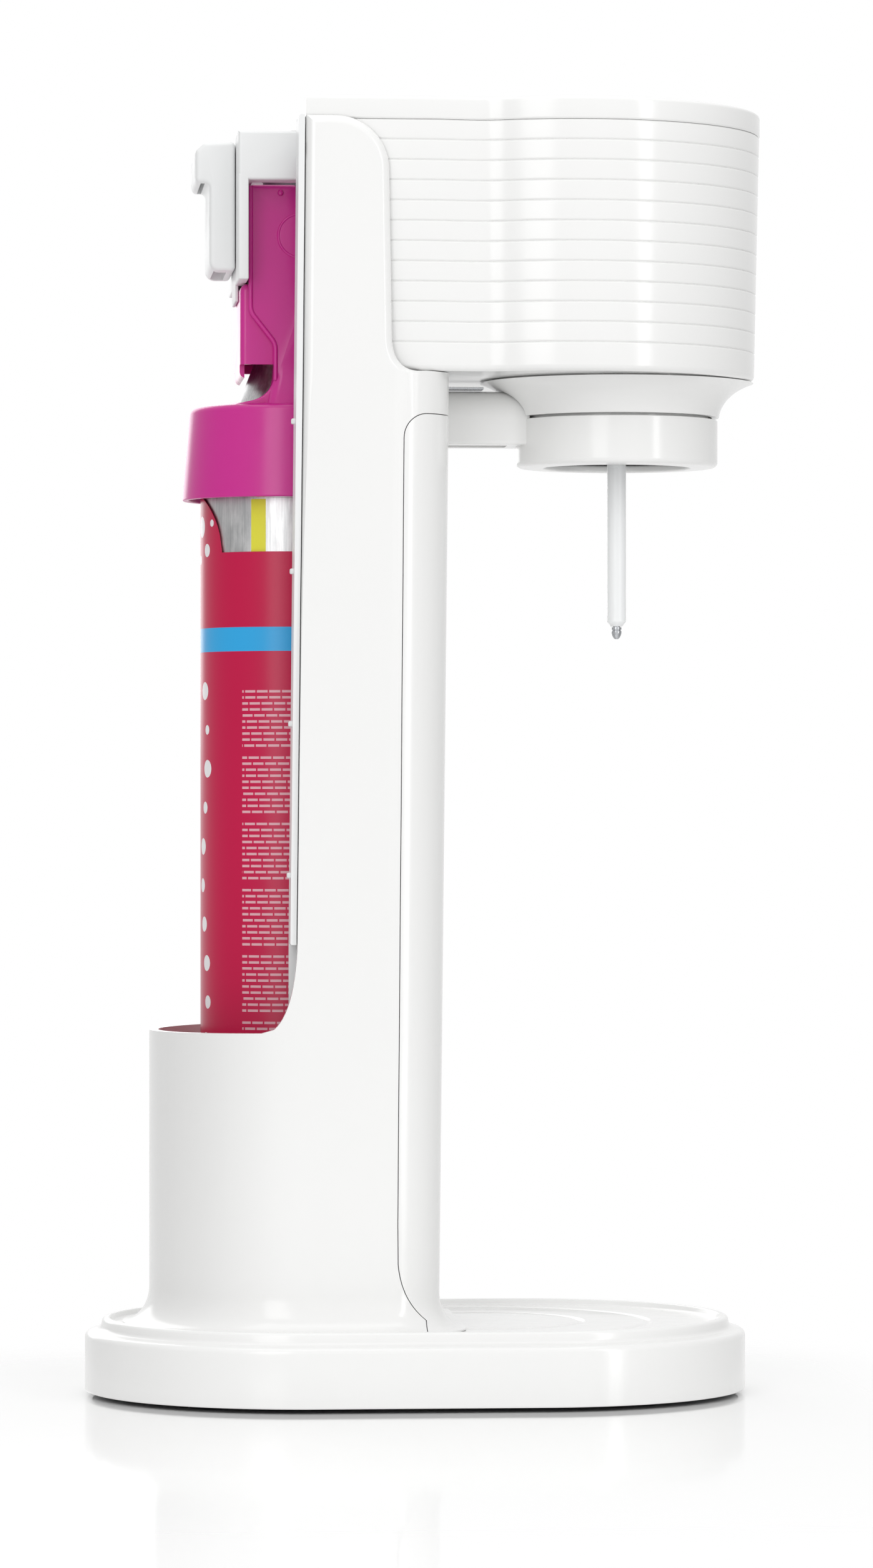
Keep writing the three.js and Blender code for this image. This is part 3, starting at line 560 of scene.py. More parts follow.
HEAD_X = 49.7
HEAD_RADIUS = 64.1
NECK_HALF = 58.5
HEAD_LOW = 340.4
CAP_LOW = 422.6
HEAD_TOP = 430
HEAD_WALL = 2.4
WAIST = 114
GROOVES = 12
GROOVE_PITCH = 6.623
GROOVE_DEPTH = 0.5
BUTTON_RADIUS = 38
DRAFT = 0.022
NOTCH_HALF = BAY_HALF + 0.6


def cubic(a, b, c, d, steps=24):
    t = np.linspace(0, 1, steps + 1)[:, None]
    a, b, c, d = (np.array(p, float) for p in (a, b, c, d))
    return (1 - t) ** 3 * a + 3 * t * (1 - t) ** 2 * b + 3 * t ** 2 * (1 - t) * c + t ** 3 * d


def head_ring(z, inset, draft=True):
    """The head's outline at height z: the neck, its waist and the round drum."""
    inset = inset + (DRAFT * (HEAD_TOP - z) if draft else 0)
    radius, half = HEAD_RADIUS - inset, NECK_HALF - inset
    x, y = HEAD_X + radius * math.cos(math.radians(WAIST)), radius * math.sin(math.radians(WAIST))
    rear = BAY_REAR + inset
    near = cubic((-4, -half), (6, -half), (x - 11, 4.8 - y), (x, -y))
    drum = arc(HEAD_X, 0, radius, radius, -WAIST, WAIST, 150)[1:-1]
    far = [(px, -py) for px, py in near[::-1]]
    straight = [(px, half) for px in np.linspace(-4, rear, 9)[1:]]
    back = [(px, -py) for px, py in straight[::-1]]
    return [(px, py, z) for px, py in [*near, *drum, *far, *straight, *back]]


LOWER_EDGE = 2
head_rings = [head_ring(HEAD_LOW + rise, inset) for rise, inset in quarter_round(LOWER_EDGE, 6)]
for number in range(GROOVES - 1, 0, -1):
    middle = CAP_LOW - number * GROOVE_PITCH
    for step in (-0.75, -0.42, -0.3, -0.17, -0.06, 0.06, 0.17, 0.3, 0.42, 0.75):
        depth = GROOVE_DEPTH * math.exp(-((step / 0.24) ** 2))
        head_rings.append(head_ring(middle + step, depth))
for step, depth in ((-0.75, 0), (-0.45, 0.05), (-0.28, 0.2), (-0.15, 0.45)):
    head_rings.append(head_ring(CAP_LOW + step, depth))
for z, depth in ((CAP_LOW - 0.06, 0.45), (CAP_LOW - 0.06, HEAD_WALL + 0.6), (HEAD_LOW, HEAD_WALL + 0.8)):
    head_rings.append(head_ring(z, depth))
head_shell = skin("head_shell_visible", head_rings, "joined")
combine(head_shell, "DIFFERENCE", block(-60, -30, -NOTCH_HALF, NOTCH_HALF, 300, 500))
settle(head_shell, "housing", "white_abs", gloss_abs, "head_shell", crease=50)

TOP_EDGE = 1.2
cap_levels = [
    (CAP_LOW + 0.06, 0.45), (CAP_LOW + 0.15, 0.45), (CAP_LOW + 0.28, 0.2), (CAP_LOW + 0.45, 0.05),
    (CAP_LOW + 0.75, 0),
]
cap_levels += [(HEAD_TOP - drop, inset) for inset, drop in quarter_round(TOP_EDGE, 6)]
head_top = skin("head_top_visible", [head_ring(z, inset, draft=False) for z, inset in cap_levels])
hollow_levels = (CAP_LOW - 1, HEAD_TOP - HEAD_WALL)
hollow = skin("hollow", [head_ring(z, HEAD_WALL + 0.6, draft=False) for z in hollow_levels])
hole = BUTTON_RADIUS + 0.6
HOLE_EDGE = 0.9
mouth = [(0, CAP_LOW), (hole, CAP_LOW), (hole, HEAD_TOP - HOLE_EDGE)]
mouth += [(hole + out, HEAD_TOP - drop) for out, drop in quarter_round(HOLE_EDGE, 5, 0.2)]
mouth += [(hole + HOLE_EDGE, HEAD_TOP + 1), (0, HEAD_TOP + 1)]
combine(
    head_top, "DIFFERENCE", hollow, turned("mouth", mouth, HEAD_X, 0, 128),
    block(-60, -26, -NOTCH_HALF, NOTCH_HALF, 400, 500),
)
settle(head_top, "housing", "white_abs", gloss_abs, "head_top")

# ---- Underside of the head -------------------------------------------
# A glossy ABS plate inside the drum's lower edge. It draws down in a hollow curve to the bottle
# collar, with a slot for the collar's arm and two lugs for the collar's hinge pin.

COLLAR_X = 65.6
HINGE_X = 94.5
HINGE_Z = 331
ARM_HALF = 12.5
ARM_TOP = 337
ARM_LOW = 318.8
ARM_REAR = 5.7


def arm_form(name, grow, start, top, end=48):
    """The collar's arm: a bar along X with a rounded top."""
    half, low = ARM_HALF + grow, ARM_LOW - (20 if grow else 0)
    under = 0 if grow else 1.2
    corners = [(-half, low, under), (half, low, under), (half, top, 9), (-half, top, 9)]
    section = rounded(corners, 9)
    return skin(name, [[(x, y, z) for y, z in section] for x in (start, end)])


throat = [(32.2, 328.5), (34.5, 328.5), (34.7, 329.3)]
throat += [tuple(p) for p in cubic((34.7, 329.3), (35.4, 333), (38.6, 337.6), (46.2, 340.1), 16)[1:]]
throat += [(43, 340.1), (43, 342.8), (40.5, 342.4), (35.4, 336.8), (32.8, 331)]
inset = HEAD_WALL + 2.3
underside = skin("head_underside_visible", [head_ring(z, inset) for z in (HEAD_LOW + 0.3, HEAD_LOW + 2.6)])
combine(underside, "DIFFERENCE", rod("bore", 40, 300, 400, COLLAR_X, 0, 128))
combine(underside, "UNION", turned("throat", throat, COLLAR_X, 0, 128))
bay_room = block(-60, BAY_FRONT + 1, -NOTCH_HALF, NOTCH_HALF, 300, 400)
combine(underside, "DIFFERENCE", bay_room, arm_form("slot", 0.5, 8, ARM_TOP + 0.5))
for y0, y1 in ((-8, -4), (4, 8)):
    combine(underside, "UNION", block(HINGE_X - 3, 99, y0, y1, 330, 341.5, 0.4))
combine(underside, "DIFFERENCE", rod("pin_bore", 1.7, -9.5, 9.5, HINGE_X, HINGE_Z, 32, "Y"))
settle(underside, "housing", "white_abs", gloss_abs, "head_underside")

# ---- Bottle holder ---------------------------------------------------
# The bottle's neck snaps into a short glossy ABS collar on an arm. The whole holder rocks on a
# steel pin at the front; a grey liner and a rubber gasket inside it seal on the bottle's mouth.

COLLAR_RADIUS = 34.1
COLLAR_LOW = 312.7
COLLAR_TOP = 327.6
COLLAR_WALL = 2.4
ARM_WALL = 2
MOUTH = 24.7
shell = COLLAR_RADIUS - COLLAR_WALL
ring = [
    (MOUTH, COLLAR_LOW - 1.3, 0.8), (COLLAR_RADIUS, COLLAR_LOW - 0.9, 1.8), (COLLAR_RADIUS, COLLAR_TOP, 0.45),
    (6, COLLAR_TOP), (6, COLLAR_TOP - 2.6), (shell, COLLAR_TOP - 2.6), (shell, COLLAR_LOW + 2),
    (MOUTH, COLLAR_LOW + 1, 0.8),
]
collar = turned("bottle_collar_visible", rounded(ring, 7), COLLAR_X, 0, 160)
arm = arm_form("arm", 0, ARM_REAR, ARM_TOP)
combine(
    arm, "DIFFERENCE", block(35, 60, -20, 20, COLLAR_TOP, 400),
    rod("space", shell, COLLAR_LOW + 2, COLLAR_TOP - 2.6, COLLAR_X, 0, 160),
    block(ARM_REAR + ARM_WALL, 28, ARM_WALL - ARM_HALF, ARM_HALF - ARM_WALL, ARM_LOW + ARM_WALL, ARM_TOP - 9),
    block(8, 28, -6, 6, 300, 325),
)
lug = rod("lug", 2.8, -3.5, 3.5, HINGE_X, HINGE_Z, 48, "Y")
low, top = COLLAR_TOP - 1, COLLAR_TOP + 2.8
lip_wall = [(29.4, low), (31, low), (31, top, 0.5), (29.4, top, 0.5)]
collar_lip = turned("lip", rounded(lip_wall, 4), COLLAR_X, 0, 160)
lug_stem = block(HINGE_X - 2.8, HINGE_X + 1.8, -3.5, 3.5, COLLAR_TOP - 1, HINGE_Z)
combine(collar, "UNION", collar_lip, arm, lug, lug_stem)
combine(collar, "DIFFERENCE", rod("pin_bore", 1.7, -9.5, 9.5, HINGE_X, HINGE_Z, 32, "Y"))
settle(collar, "holder", "white_abs", gloss_abs, "bottle_collar")

x0, x1, _, _, z0, z1 = span("collar_liner")
outer = (x1 - x0) / 2
inner, groove = MOUTH + 0.6, MOUTH + 1.1
liner_wall = [(inner, z0), (outer - 0.6, z0, 0.4), (outer, z0 + 0.6), (outer, z1), (inner, z1)]
for level in np.arange(z1 - 1.6, z0 + 1, -1.7):
    liner_wall += [(inner, level), (groove, level - 0.35), (groove, level - 0.7), (inner, level - 1.05)]
collar_liner = turned("collar_liner_visible", rounded(liner_wall, 4), COLLAR_X, 0, 128)
settle(collar_liner, "holder", "grey_nylon", grey_nylon, "collar_liner")

x0, x1, _, _, z0, z1 = span("bottle_gasket")
outer = (x1 - x0) / 2
seal = [(6.5, z0 + 0.6, 0.4), (9, z0, 0.6), (outer, z0 + 0.3, 0.8), (outer, z1, 0.4), (6.5, z1, 0.4)]
gasket = turned("bottle_gasket_visible", rounded(seal, 5), COLLAR_X, 0, 96)
settle(gasket, "holder", "rubber", foot_rubber, "bottle_gasket")

# ---- Nozzle ----------------------------------------------------------
# A slim tube of natural nylon carries the gas down into the water. A turned steel tip with a
# tiny hole is pressed into its lower end; the tube widens to a flange inside the holder.

# Unfilled nylon is milky: light spreads a few millimetres inside it before it comes out.
natural_nylon = moulded_plastic(
    "natural_nylon_smooth_mould", "#f4f5f5", "#eef0f1", 0.24, 2.5, 0.004,
    **{"Subsurface Weight": 0.6, "Subsurface Radius": (1, 1, 1), "Subsurface Scale": 0.002, "IOR": 1.53},
)
nozzle_low, nozzle_top = span("nozzle")[4:]
NOZZLE_RADIUS = 3.2
BORE = 1.4
SEAT = COLLAR_TOP + 0.3
stalk = [
    (BORE, nozzle_low, 0.2), (NOZZLE_RADIUS - 1.2, nozzle_low, 0.25),
    (NOZZLE_RADIUS - 0.95, nozzle_low + 0.5, 0.2), (NOZZLE_RADIUS, nozzle_low + 1.6, 0.8),
    (NOZZLE_RADIUS, SEAT, 0.4), (8, SEAT), (8, nozzle_top), (BORE, nozzle_top),
]
nozzle = turned("nozzle_visible", rounded(stalk, 5), COLLAR_X, 0, 72)
settle(nozzle, "holder", "natural_nylon", natural_nylon, "nozzle")

tip_low, tip_top = span("nozzle_tip")[4:]
stem = BORE - 0.2
bullet = [
    (0, 1.1), (0.22, 1.1), (0.22, 0.02), (0.55, 0), (1.05, 0.45), (1.45, 1.2), (1.7, 2.1), (1.7, 2.7),
    (1.5, 2.9), (1.5, 3.1), (1.7, 3.3),
]
bullet = [(radius, tip_low + height) for radius, height in bullet]
bullet += [(1.7, nozzle_low - 0.3), (stem, nozzle_low - 0.3), (stem, tip_top), (0, tip_top)]
tip = turned("nozzle_tip_visible", bullet, COLLAR_X, 0, 64)
settle(tip, "holder", "steel", plated_steel, "nozzle_tip", crease=40)

# ---- Inside the head -------------------------------------------------
# The nozzle's block with its brass relief valve, the hinge pin, the spring latch that holds the
# arm up, and the hose, beam, pin, receiver and plunger that open the gas valve.

for name, material, slot_name, edge in (
    ("nozzle_block", grey_nylon, "grey_nylon", 0.4), ("relief_valve", turned_brass, "brass", 0.3),
    ("holder_pin", plated_steel, "steel", 0.2), ("snap_latch", plated_steel, "steel", 0.1),
    ("actuator_beam", plated_steel, "steel", 0),
    ("actuator_pin", plated_steel, "steel", 0.2), ("receiver", grey_nylon, "grey_nylon", 0.4),
    ("receiver_seal", foot_rubber, "rubber", 0.05), ("plunger", plated_steel, "steel", 0.1),
    ("gas_hose", natural_nylon, "natural_nylon", 0), ("valve_pin", plated_steel, "steel", 0.1),
    ("lever_pin_left", plated_steel, "steel", 0.4), ("lever_pin_right", plated_steel, "steel", 0.4),
):
    refinish(name, material, edge)

# ---- Button and its tray ---------------------------------------------
# A broad satin ABS button, slightly dished for the palm, floats in a shallow tray under the cap's
# round opening. A wire spring in the tray pushes it back up.

button_top = span("button")[5]
radius = BUTTON_RADIUS
skirt_low = button_top - 14
under = button_top - 3.4
dish = [
    (0, button_top - 1.6), (14, button_top - 1.45), (26, button_top - 1.0),
    (radius - 4, button_top - 0.25, 6), (radius - 1.4, button_top, 0.8), (radius, button_top - 0.9, 0.7),
    (radius, skirt_low), (radius - 2, skirt_low), (radius - 2, under), (4, under), (4, 397.9, 0.3),
    (3.6, 397.7), (0, 397.7),
]
button = turned("button_visible", rounded(dish, 6, closed=False), HEAD_X, 0, 160)
settle(button, "button", "satin_white", satin_abs, "button")

tray_outer = BUTTON_RADIUS + 3
tray_low, tray_top = span("button_tray")[4:]
well = [
    (6, tray_low), (tray_outer, tray_low, 1), (tray_outer, tray_top, 0.5), (tray_outer - 2.4, tray_top, 0.5),
    (tray_outer - 2.4, tray_low + 2.4, 1), (6, tray_low + 2.4),
]
tray = turned("button_tray_visible", rounded(well, 5), HEAD_X, 0, 128)
settle(tray, "housing", "satin_white", satin_abs, "button_tray")

# A steel wire spring stands in the tray and pushes the button up.
x0, x1, _, _, spring_low, spring_top = span("button_spring")
WIRE = 0.55
TURNS = 5
coil_radius = (x1 - x0) / 2 - WIRE
coil = []
for share in np.linspace(0, 1, 48 * TURNS + 1):
    turn = 2 * math.pi * TURNS * share
    out = np.array([math.cos(turn), math.sin(turn), 0])
    z = spring_low + WIRE + share * (spring_top - spring_low - 2 * WIRE)
    middle = np.array([HEAD_X, 0, z]) + coil_radius * out
    up = np.array([0, 0, 1])
    coil.append([middle + WIRE * (math.cos(a) * out + math.sin(a) * up) for a in full_turn(12)])
spring = skin("button_spring_visible", coil)
settle(spring, "housing", "steel", plated_steel, "button_spring")
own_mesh(spring)

# ---- Gas cylinder ----------------------------------------------------
# A seamless cylinder drawn from aluminium, brushed along its length and a little scuffed, with
# a round shoulder and a narrow neck. A yellow-green test stripe is painted below the shoulder.

x0, x1, _, _, gas_low, gas_top = span("gas_cylinder")
GAS_X = (x0 + x1) / 2
GAS_RADIUS = (x1 - x0) / 2
LABEL_LOW, LABEL_TOP = span("gas_label")[4:]


def maths(tree, operation, a, b=0.0):
    return node(tree, "Math", {0: a, 1: b}, operation=operation).outputs[0]


def drawn_noise(tree, place, across, along, detail, spread=0.5):
    """Noise whose patches are drawn out along Z, with sizes in millimetres."""
    sizes = (1000 / across, 1000 / across, 1000 / along)
    inputs = {"Vector": node(tree, "Mapping", {"Vector": place, "Scale": sizes}).outputs[0], "Scale": 1}
    return node(tree, "TexNoise", {**inputs, "Detail": detail, "Roughness": spread}).outputs[0]


def drawn_aluminium():
    """Streaks 0.7 mm wide and some 12 mm long run up the wall, with duller scuffs between."""
    stripe_at = math.radians(-113.8)
    stripe_half = 2.6 / GAS_RADIUS
    stripe_top = 0.2995
    material, tree, place = empty_material("brushed_aluminium")
    streak = drawn_noise(tree, place, 0.7, 12, 3)
    scuff = drawn_noise(tree, place, 4, 9, 4, 0.65)
    shade = ranged(tree, maths(tree, "ADD", streak, scuff), 0, 1, 0.75, 1.3)
    metal = blended(tree, shade, colour("#c9cacb"), colour("#ececec"))
    axis = node(tree, "SeparateXYZ", {0: place}).outputs
    turn = maths(tree, "ARCTAN2", axis[1], maths(tree, "SUBTRACT", axis[0], GAS_X / 1000))
    away = maths(tree, "ABSOLUTE", maths(tree, "SUBTRACT", turn, stripe_at))
    below = maths(tree, "LESS_THAN", axis[2], stripe_top)
    stripe = maths(tree, "MULTIPLY", maths(tree, "LESS_THAN", away, stripe_half), below)
    return surfaced(material, tree, {
        "Base Color": blended(tree, stripe, metal, colour("#e6e23c")),
        "Metallic": maths(tree, "SUBTRACT", 1, stripe),
        "Roughness": ranged(tree, scuff, 0.3, 0.5),
        "Normal": bumped(tree, streak, 0.03, 0.6),
    })


wall = [
    (0, gas_low + 2.5), (14, gas_low + 2.2, 4), (20, gas_low, 2.5), (23.5, gas_low, 3),
    (GAS_RADIUS, gas_low + 5, 7), (GAS_RADIUS, 305, 30), (25.2, 318, 20), (15.4, 337.5, 12), (12.5, 345, 3),
    (12.5, gas_top, 0.5), (0, gas_top),
]
gas_cylinder = turned("gas_cylinder_visible", rounded(wall, 8, closed=False), GAS_X, 0, 144)
settle(gas_cylinder, "cylinder", "brushed_aluminium", drawn_aluminium(), "gas_cylinder")

# ---- Label on the gas cylinder ---------------------------------------
# A crimson printed film wrapped round the cylinder, rising in a half-round tab at the rear. It
# carries a blue band, plain white bubbles and rows of hairlines in place of small print.

LABEL_RADIUS = GAS_RADIUS + 0.7
FILM = 0.25
TAB_RADIUS = 19.5


def label_edge(angle):
    """The label's top at an angle in radians from the rear."""
    around = abs((angle + math.pi) % (2 * math.pi) - math.pi) * LABEL_RADIUS
    return LABEL_TOP + math.sqrt(max(0, TAB_RADIUS ** 2 - around ** 2))


label_rings = []
for radius, shares in ((LABEL_RADIUS, np.linspace(0, 1, 13)), (LABEL_RADIUS - FILM, np.linspace(1, 0, 13))):
    for share in shares:
        ring = []
        for a in full_turn(360):
            z = LABEL_LOW + share * (label_edge(a) - LABEL_LOW)
            ring.append((GAS_X - radius * math.cos(a), radius * math.sin(a), z))
        label_rings.append(ring)
label = skin("gas_label_visible", label_rings, "joined")


def printed_film():
    """Crimson ink under a clear film. Bubbles are given as degrees round from the rear, height
    and radius in mm; the small print is rows 2 mm apart, broken into words."""
    bubbles = [(-9, 291, 3.6), (-20, 283, 2.2), (-4, 280, 1.6), (-27, 292, 1.2)]
    bubbles += [(-16 - 5 * math.sin(k), 236 - 13 * k, 1.4 + 1.6 * abs(math.cos(1.7 * k))) for k in range(14)]
    print_top, row_pitch, rows_to_block = 236, 2, 11
    print_start, print_end = (math.radians(side) * LABEL_RADIUS for side in (-125, -55.3))
    band_middle, band_half = 253, 4
    material, tree, place = empty_material("printed_film_gloss")
    axis = node(tree, "SeparateXYZ", {0: place}).outputs
    turn = maths(tree, "ARCTAN2", axis[1], maths(tree, "SUBTRACT", GAS_X / 1000, axis[0]))
    around = maths(tree, "MULTIPLY", turn, LABEL_RADIUS)
    height = maths(tree, "MULTIPLY", axis[2], 1000)
    flat = node(tree, "CombineXYZ", {0: around, 1: height}).outputs[0]

    row = maths(tree, "DIVIDE", maths(tree, "SUBTRACT", print_top, height), row_pitch)
    number = maths(tree, "FLOOR", row)
    start = maths(tree, "MULTIPLY", maths(tree, "FRACT", maths(tree, "MULTIPLY", number, 0.618)), 7)
    space = maths(tree, "FRACT", maths(tree, "DIVIDE", maths(tree, "ADD", around, start), 4.3))
    printed = maths(tree, "GREATER_THAN", space, 0.13)
    for part in (
        maths(tree, "LESS_THAN", maths(tree, "FRACT", row), 0.4),
        maths(tree, "LESS_THAN", maths(tree, "MODULO", number, rows_to_block), rows_to_block - 1.5),
        maths(tree, "GREATER_THAN", around, print_start),
        maths(tree, "LESS_THAN", around, print_end),
        maths(tree, "LESS_THAN", height, print_top),
    ):
        printed = maths(tree, "MULTIPLY", printed, part)

    ink = blended(tree, noise(tree, place, 80, 1), colour("#c9064a"), colour("#c00443"))
    off_band = maths(tree, "ABSOLUTE", maths(tree, "SUBTRACT", height, band_middle))
    ink = blended(tree, maths(tree, "LESS_THAN", off_band, band_half), ink, colour("#2fa9e6"))
    ink = blended(tree, maths(tree, "MULTIPLY", printed, 0.55), ink, colour("#f3dfe5"))
    for degrees, z, radius in bubbles:
        centre = (math.radians(degrees) * LABEL_RADIUS, z, 0)
        away = node(tree, "VectorMath", {0: flat, 1: centre}, operation="DISTANCE").outputs["Value"]
        ink = blended(tree, maths(tree, "LESS_THAN", away, radius), ink, colour("#f1eef0"))
    wrinkle = bumped(tree, noise(tree, place, 25, 1), 0.06, 0.5)
    return surfaced(material, tree, {"Base Color": ink, "Roughness": 0.28, "IOR": 1.45, "Normal": wrinkle})


settle(label, "cylinder", "printed_label", printed_film(), "gas_label")

# ---- Valve on the cylinder -------------------------------------------
# A grey nylon valve body screwed on the cylinder's neck, with flutes for the fitting tool and a
# flange that the receiver grips.

valve_low, valve_top = span("valve_body")[4:]
FLUTES = 16
FLUTE_RING = 11.4
stack = [
    (1.2, valve_low), (11, valve_low, 0.4), (11, valve_low + 10, 0.6), (9, valve_low + 12, 0.6),
    (9, 388, 0.4), (12, 389, 0.4), (12, 398, 0.5), (7, 399.5, 0.3), (7, valve_top, 0.3), (1.2, valve_top),
]
valve = turned("valve_body_visible", rounded(stack, 4), GAS_X, 0, 96)
for a in full_turn(FLUTES):
    flute = [(0, valve_low - 1), (0.9, valve_low - 1), (0.9, valve_low + 9), (0, valve_low + 9.6)]
    x, y = GAS_X + FLUTE_RING * math.cos(a), FLUTE_RING * math.sin(a)
    combine(valve, "DIFFERENCE", turned("flute", flute, x, y, 12))
settle(valve, "cylinder", "grey_nylon", grey_nylon, "valve_body")

# ---- Guard round the valve -------------------------------------------
# A magenta polypropylene shroud snapped on the cylinder's shoulder: a flared skirt, a hollow
# upright with beaded edges and a round boss on each side, and a finger grip at the rear.

# Polished polypropylene is waxy and a little translucent, with strong soft reflections.
magenta_pp = moulded_plastic(
    "magenta_polypropylene_polished_mould", "#d02d95", "#c8298d", 0.22, 5, 0.006,
    **{"Subsurface Weight": 0.15, "Subsurface Radius": (1, 0.3, 0.6), "Subsurface Scale": 0.002, "IOR": 1.49},
)


def bead(name, path, y, radius, sides=14):
    """A round bead along a path of (x, z) points in the plane at y, with closed ends."""
    path = np.array(path, float)
    way = np.gradient(path, axis=0)
    way /= np.linalg.norm(way, axis=1)[:, None]
    rings = []
    for (x, z), (tx, tz) in zip(path, way):
        turns = full_turn(sides)
        out = radius * np.cos(turns)
        rings.append(np.stack([x - tz * out, y + radius * np.sin(turns), z + tx * out], axis=1))
    return skin(name, rings)


def sampled(points, spacing):
    """Points at an even spacing along a polyline."""
    points = np.array(points, float)
    steps = np.r_[0, np.cumsum(np.linalg.norm(np.diff(points, axis=0), axis=1))]
    at = np.linspace(0, steps[-1], max(2, int(steps[-1] / spacing)))
    return np.stack([np.interp(at, steps, points[:, i]) for i in (0, 1)], axis=1)


GUARD_HALF = 26
GUARD_WALL = 2
SKIRT_LOW = 300
SKIRT_TOP = 331
upright = [
    (-51.4, 322), (-51.4, 351, 5), (-59.9, 361.5, 5), (-59.9, 404, 1.6), (-43.9, 404, 1.6),
    (-42.9, 396), (-22, 396, 1.6), (-22, 322),
]
skirt = [
    (36.1, SKIRT_LOW, 0.5), (33.6, SKIRT_TOP - 0.3, 2.4), (24, SKIRT_TOP + 1.2), (24, SKIRT_TOP - 1),
    (31.6, SKIRT_TOP - 2.4, 1), (34.1, SKIRT_LOW, 0.5),
]
guard = turned("cylinder_guard_visible", rounded(skirt, 7), GAS_X, 0, 144)
# A saddle narrows, level by level, from the skirt up to the width of the upright.
saddle = []
for z, half, rear in (
    (SKIRT_LOW, 34.9, -57.5), (318, 33.6, -56.6), (327, 32.2, -55), (333, 29.4, -53.4), (340, 26.6, -51.8),
    (346, 25.9, -51.4),
):
    corner = 5.5 if z < 330 else 3.2
    corners = [(-21, -half, corner), (-21, half, corner), (rear, half, corner), (rear, -half, corner)]
    saddle.append([(x, y, z) for x, y in rounded(corners, 7)])
combine(guard, "UNION", skin("saddle", saddle))
upright_form = plate("upright", rounded(upright, 8), -GUARD_HALF, GUARD_HALF, 1.3, 5)
fillet = [(-66, SKIRT_TOP - 0.5), (-51, SKIRT_TOP - 0.5), (-51, 343)]
fillet += blend_curve(fillet[-1], (-51.6, 333), (-61, SKIRT_TOP + 0.9), 12)
combine(guard, "UNION", upright_form, plate("fillet", fillet, -26, 26, 0.6, 3))
edge_corners = [(-51.0, 339), (-51.0, 351.2, 5), (-59.3, 361.8, 5), (-59.3, 403.4)]
edge_path = sampled(rounded(edge_corners, 8, closed=False), 1.2)
for side in (-1, 1):
    combine(guard, "UNION", bead("bead", edge_path, side * (GUARD_HALF - 0.15), 0.75))
guard_room = GUARD_HALF - GUARD_WALL
hollow = [
    (-49.4, 322), (-49.4, 351.6, 4), (-57.9, 362.1, 4), (-57.9, 402, 0.4), (-45.4, 402, 0.4),
    (-44.4, 394, 0.6), (-24, 394, 0.6), (-24, 322),
]
combine(guard, "DIFFERENCE", plate("hollow", rounded(hollow, 6), -guard_room, guard_room))
combine(guard, "DIFFERENCE", block(-49.4, -24, -guard_room, guard_room, 290, 350))
grip_side = [(-62.7, 340.2, 2), (-50, 340.2), (-50, 371.2), (-62.7, 371.2, 2.4)]
grip = plate("grip", rounded(grip_side, 6), -24, 24, 2, 6)
grip_room = block(-61.1, -45, -22.2, 22.2, 330, 369.4)
combine(grip, "DIFFERENCE", grip_room, block(-58.4, -45, -30, 30, 330, 344.4))
for y0, y1 in ((-30, -19), (19, 30)):
    combine(grip, "DIFFERENCE", block(-70, -45, y0, y1, 330, 344.4))
combine(guard, "UNION", grip)
cavity = [
    (0, 296), (30.6, 296), (30.6, 303), (29.2, 310), (26.8, 317.5), (22.8, 326.4), (18.4, 334.4),
    (14.6, 341), (13.2, 347), (13.2, 353), (0, 353),
]
BOSS_X, BOSS_Z = -43, 387
BOSS_RADIUS = 7.1
RIM_WIRE = 0.5
for side in (-1, 1):
    face = side * GUARD_HALF
    pad = [
        (0, face - side), (BOSS_RADIUS, face - side), (BOSS_RADIUS, face + side * 0.25),
        (6.4, face + side * 0.35), (0, face + side * 0.35),
    ]
    rim = []
    for x, z in arc(BOSS_X, BOSS_Z, BOSS_RADIUS, BOSS_RADIUS, 0, 360, 72)[:-1]:
        ux, uz = (x - BOSS_X) / BOSS_RADIUS, (z - BOSS_Z) / BOSS_RADIUS
        out = [(RIM_WIRE * math.cos(t), RIM_WIRE * math.sin(t)) for t in full_turn(12)]
        rim.append([(x + ux * u, face + v, z + uz * u) for u, v in out])
    half_disc = arc(BOSS_X, BOSS_Z, 6.3, 6.3, -90, 90, 24)
    half_pad = plate("half", half_disc, *sorted((face - side, face + side * 0.75)), 0.2, 3)
    pip = [(0, -1), (1.0, -1), (1.0, 0.3), (0.7, 0.8), (0.3, 1), (0, 1)]
    pip = [(radius, face + side * height) for radius, height in pip]
    combine(
        guard, "UNION", turned("pad", pad, BOSS_X, BOSS_Z, 72, "Y"), skin("rim", rim, "joined"),
        half_pad, turned("pip", pip, -49.4, 401.2, 24, "Y"),
    )
combine(
    guard, "DIFFERENCE", turned("cavity", cavity, GAS_X, 0, 96),
    rod("valve_room", 12.6, 350, 400, GAS_X, 0, 72), rod("valve_neck", 7.5, 380, 410, GAS_X, 0, 64),
)
settle(guard, "cylinder", "magenta_pp", magenta_pp, "cylinder_guard")

# ---- Lever -----------------------------------------------------------
# A satin ABS fork on two steel pins. Lifting it lets the cylinder's head swing out. The grip
# behind it is a hollow moulding with a hooked top for two fingers.

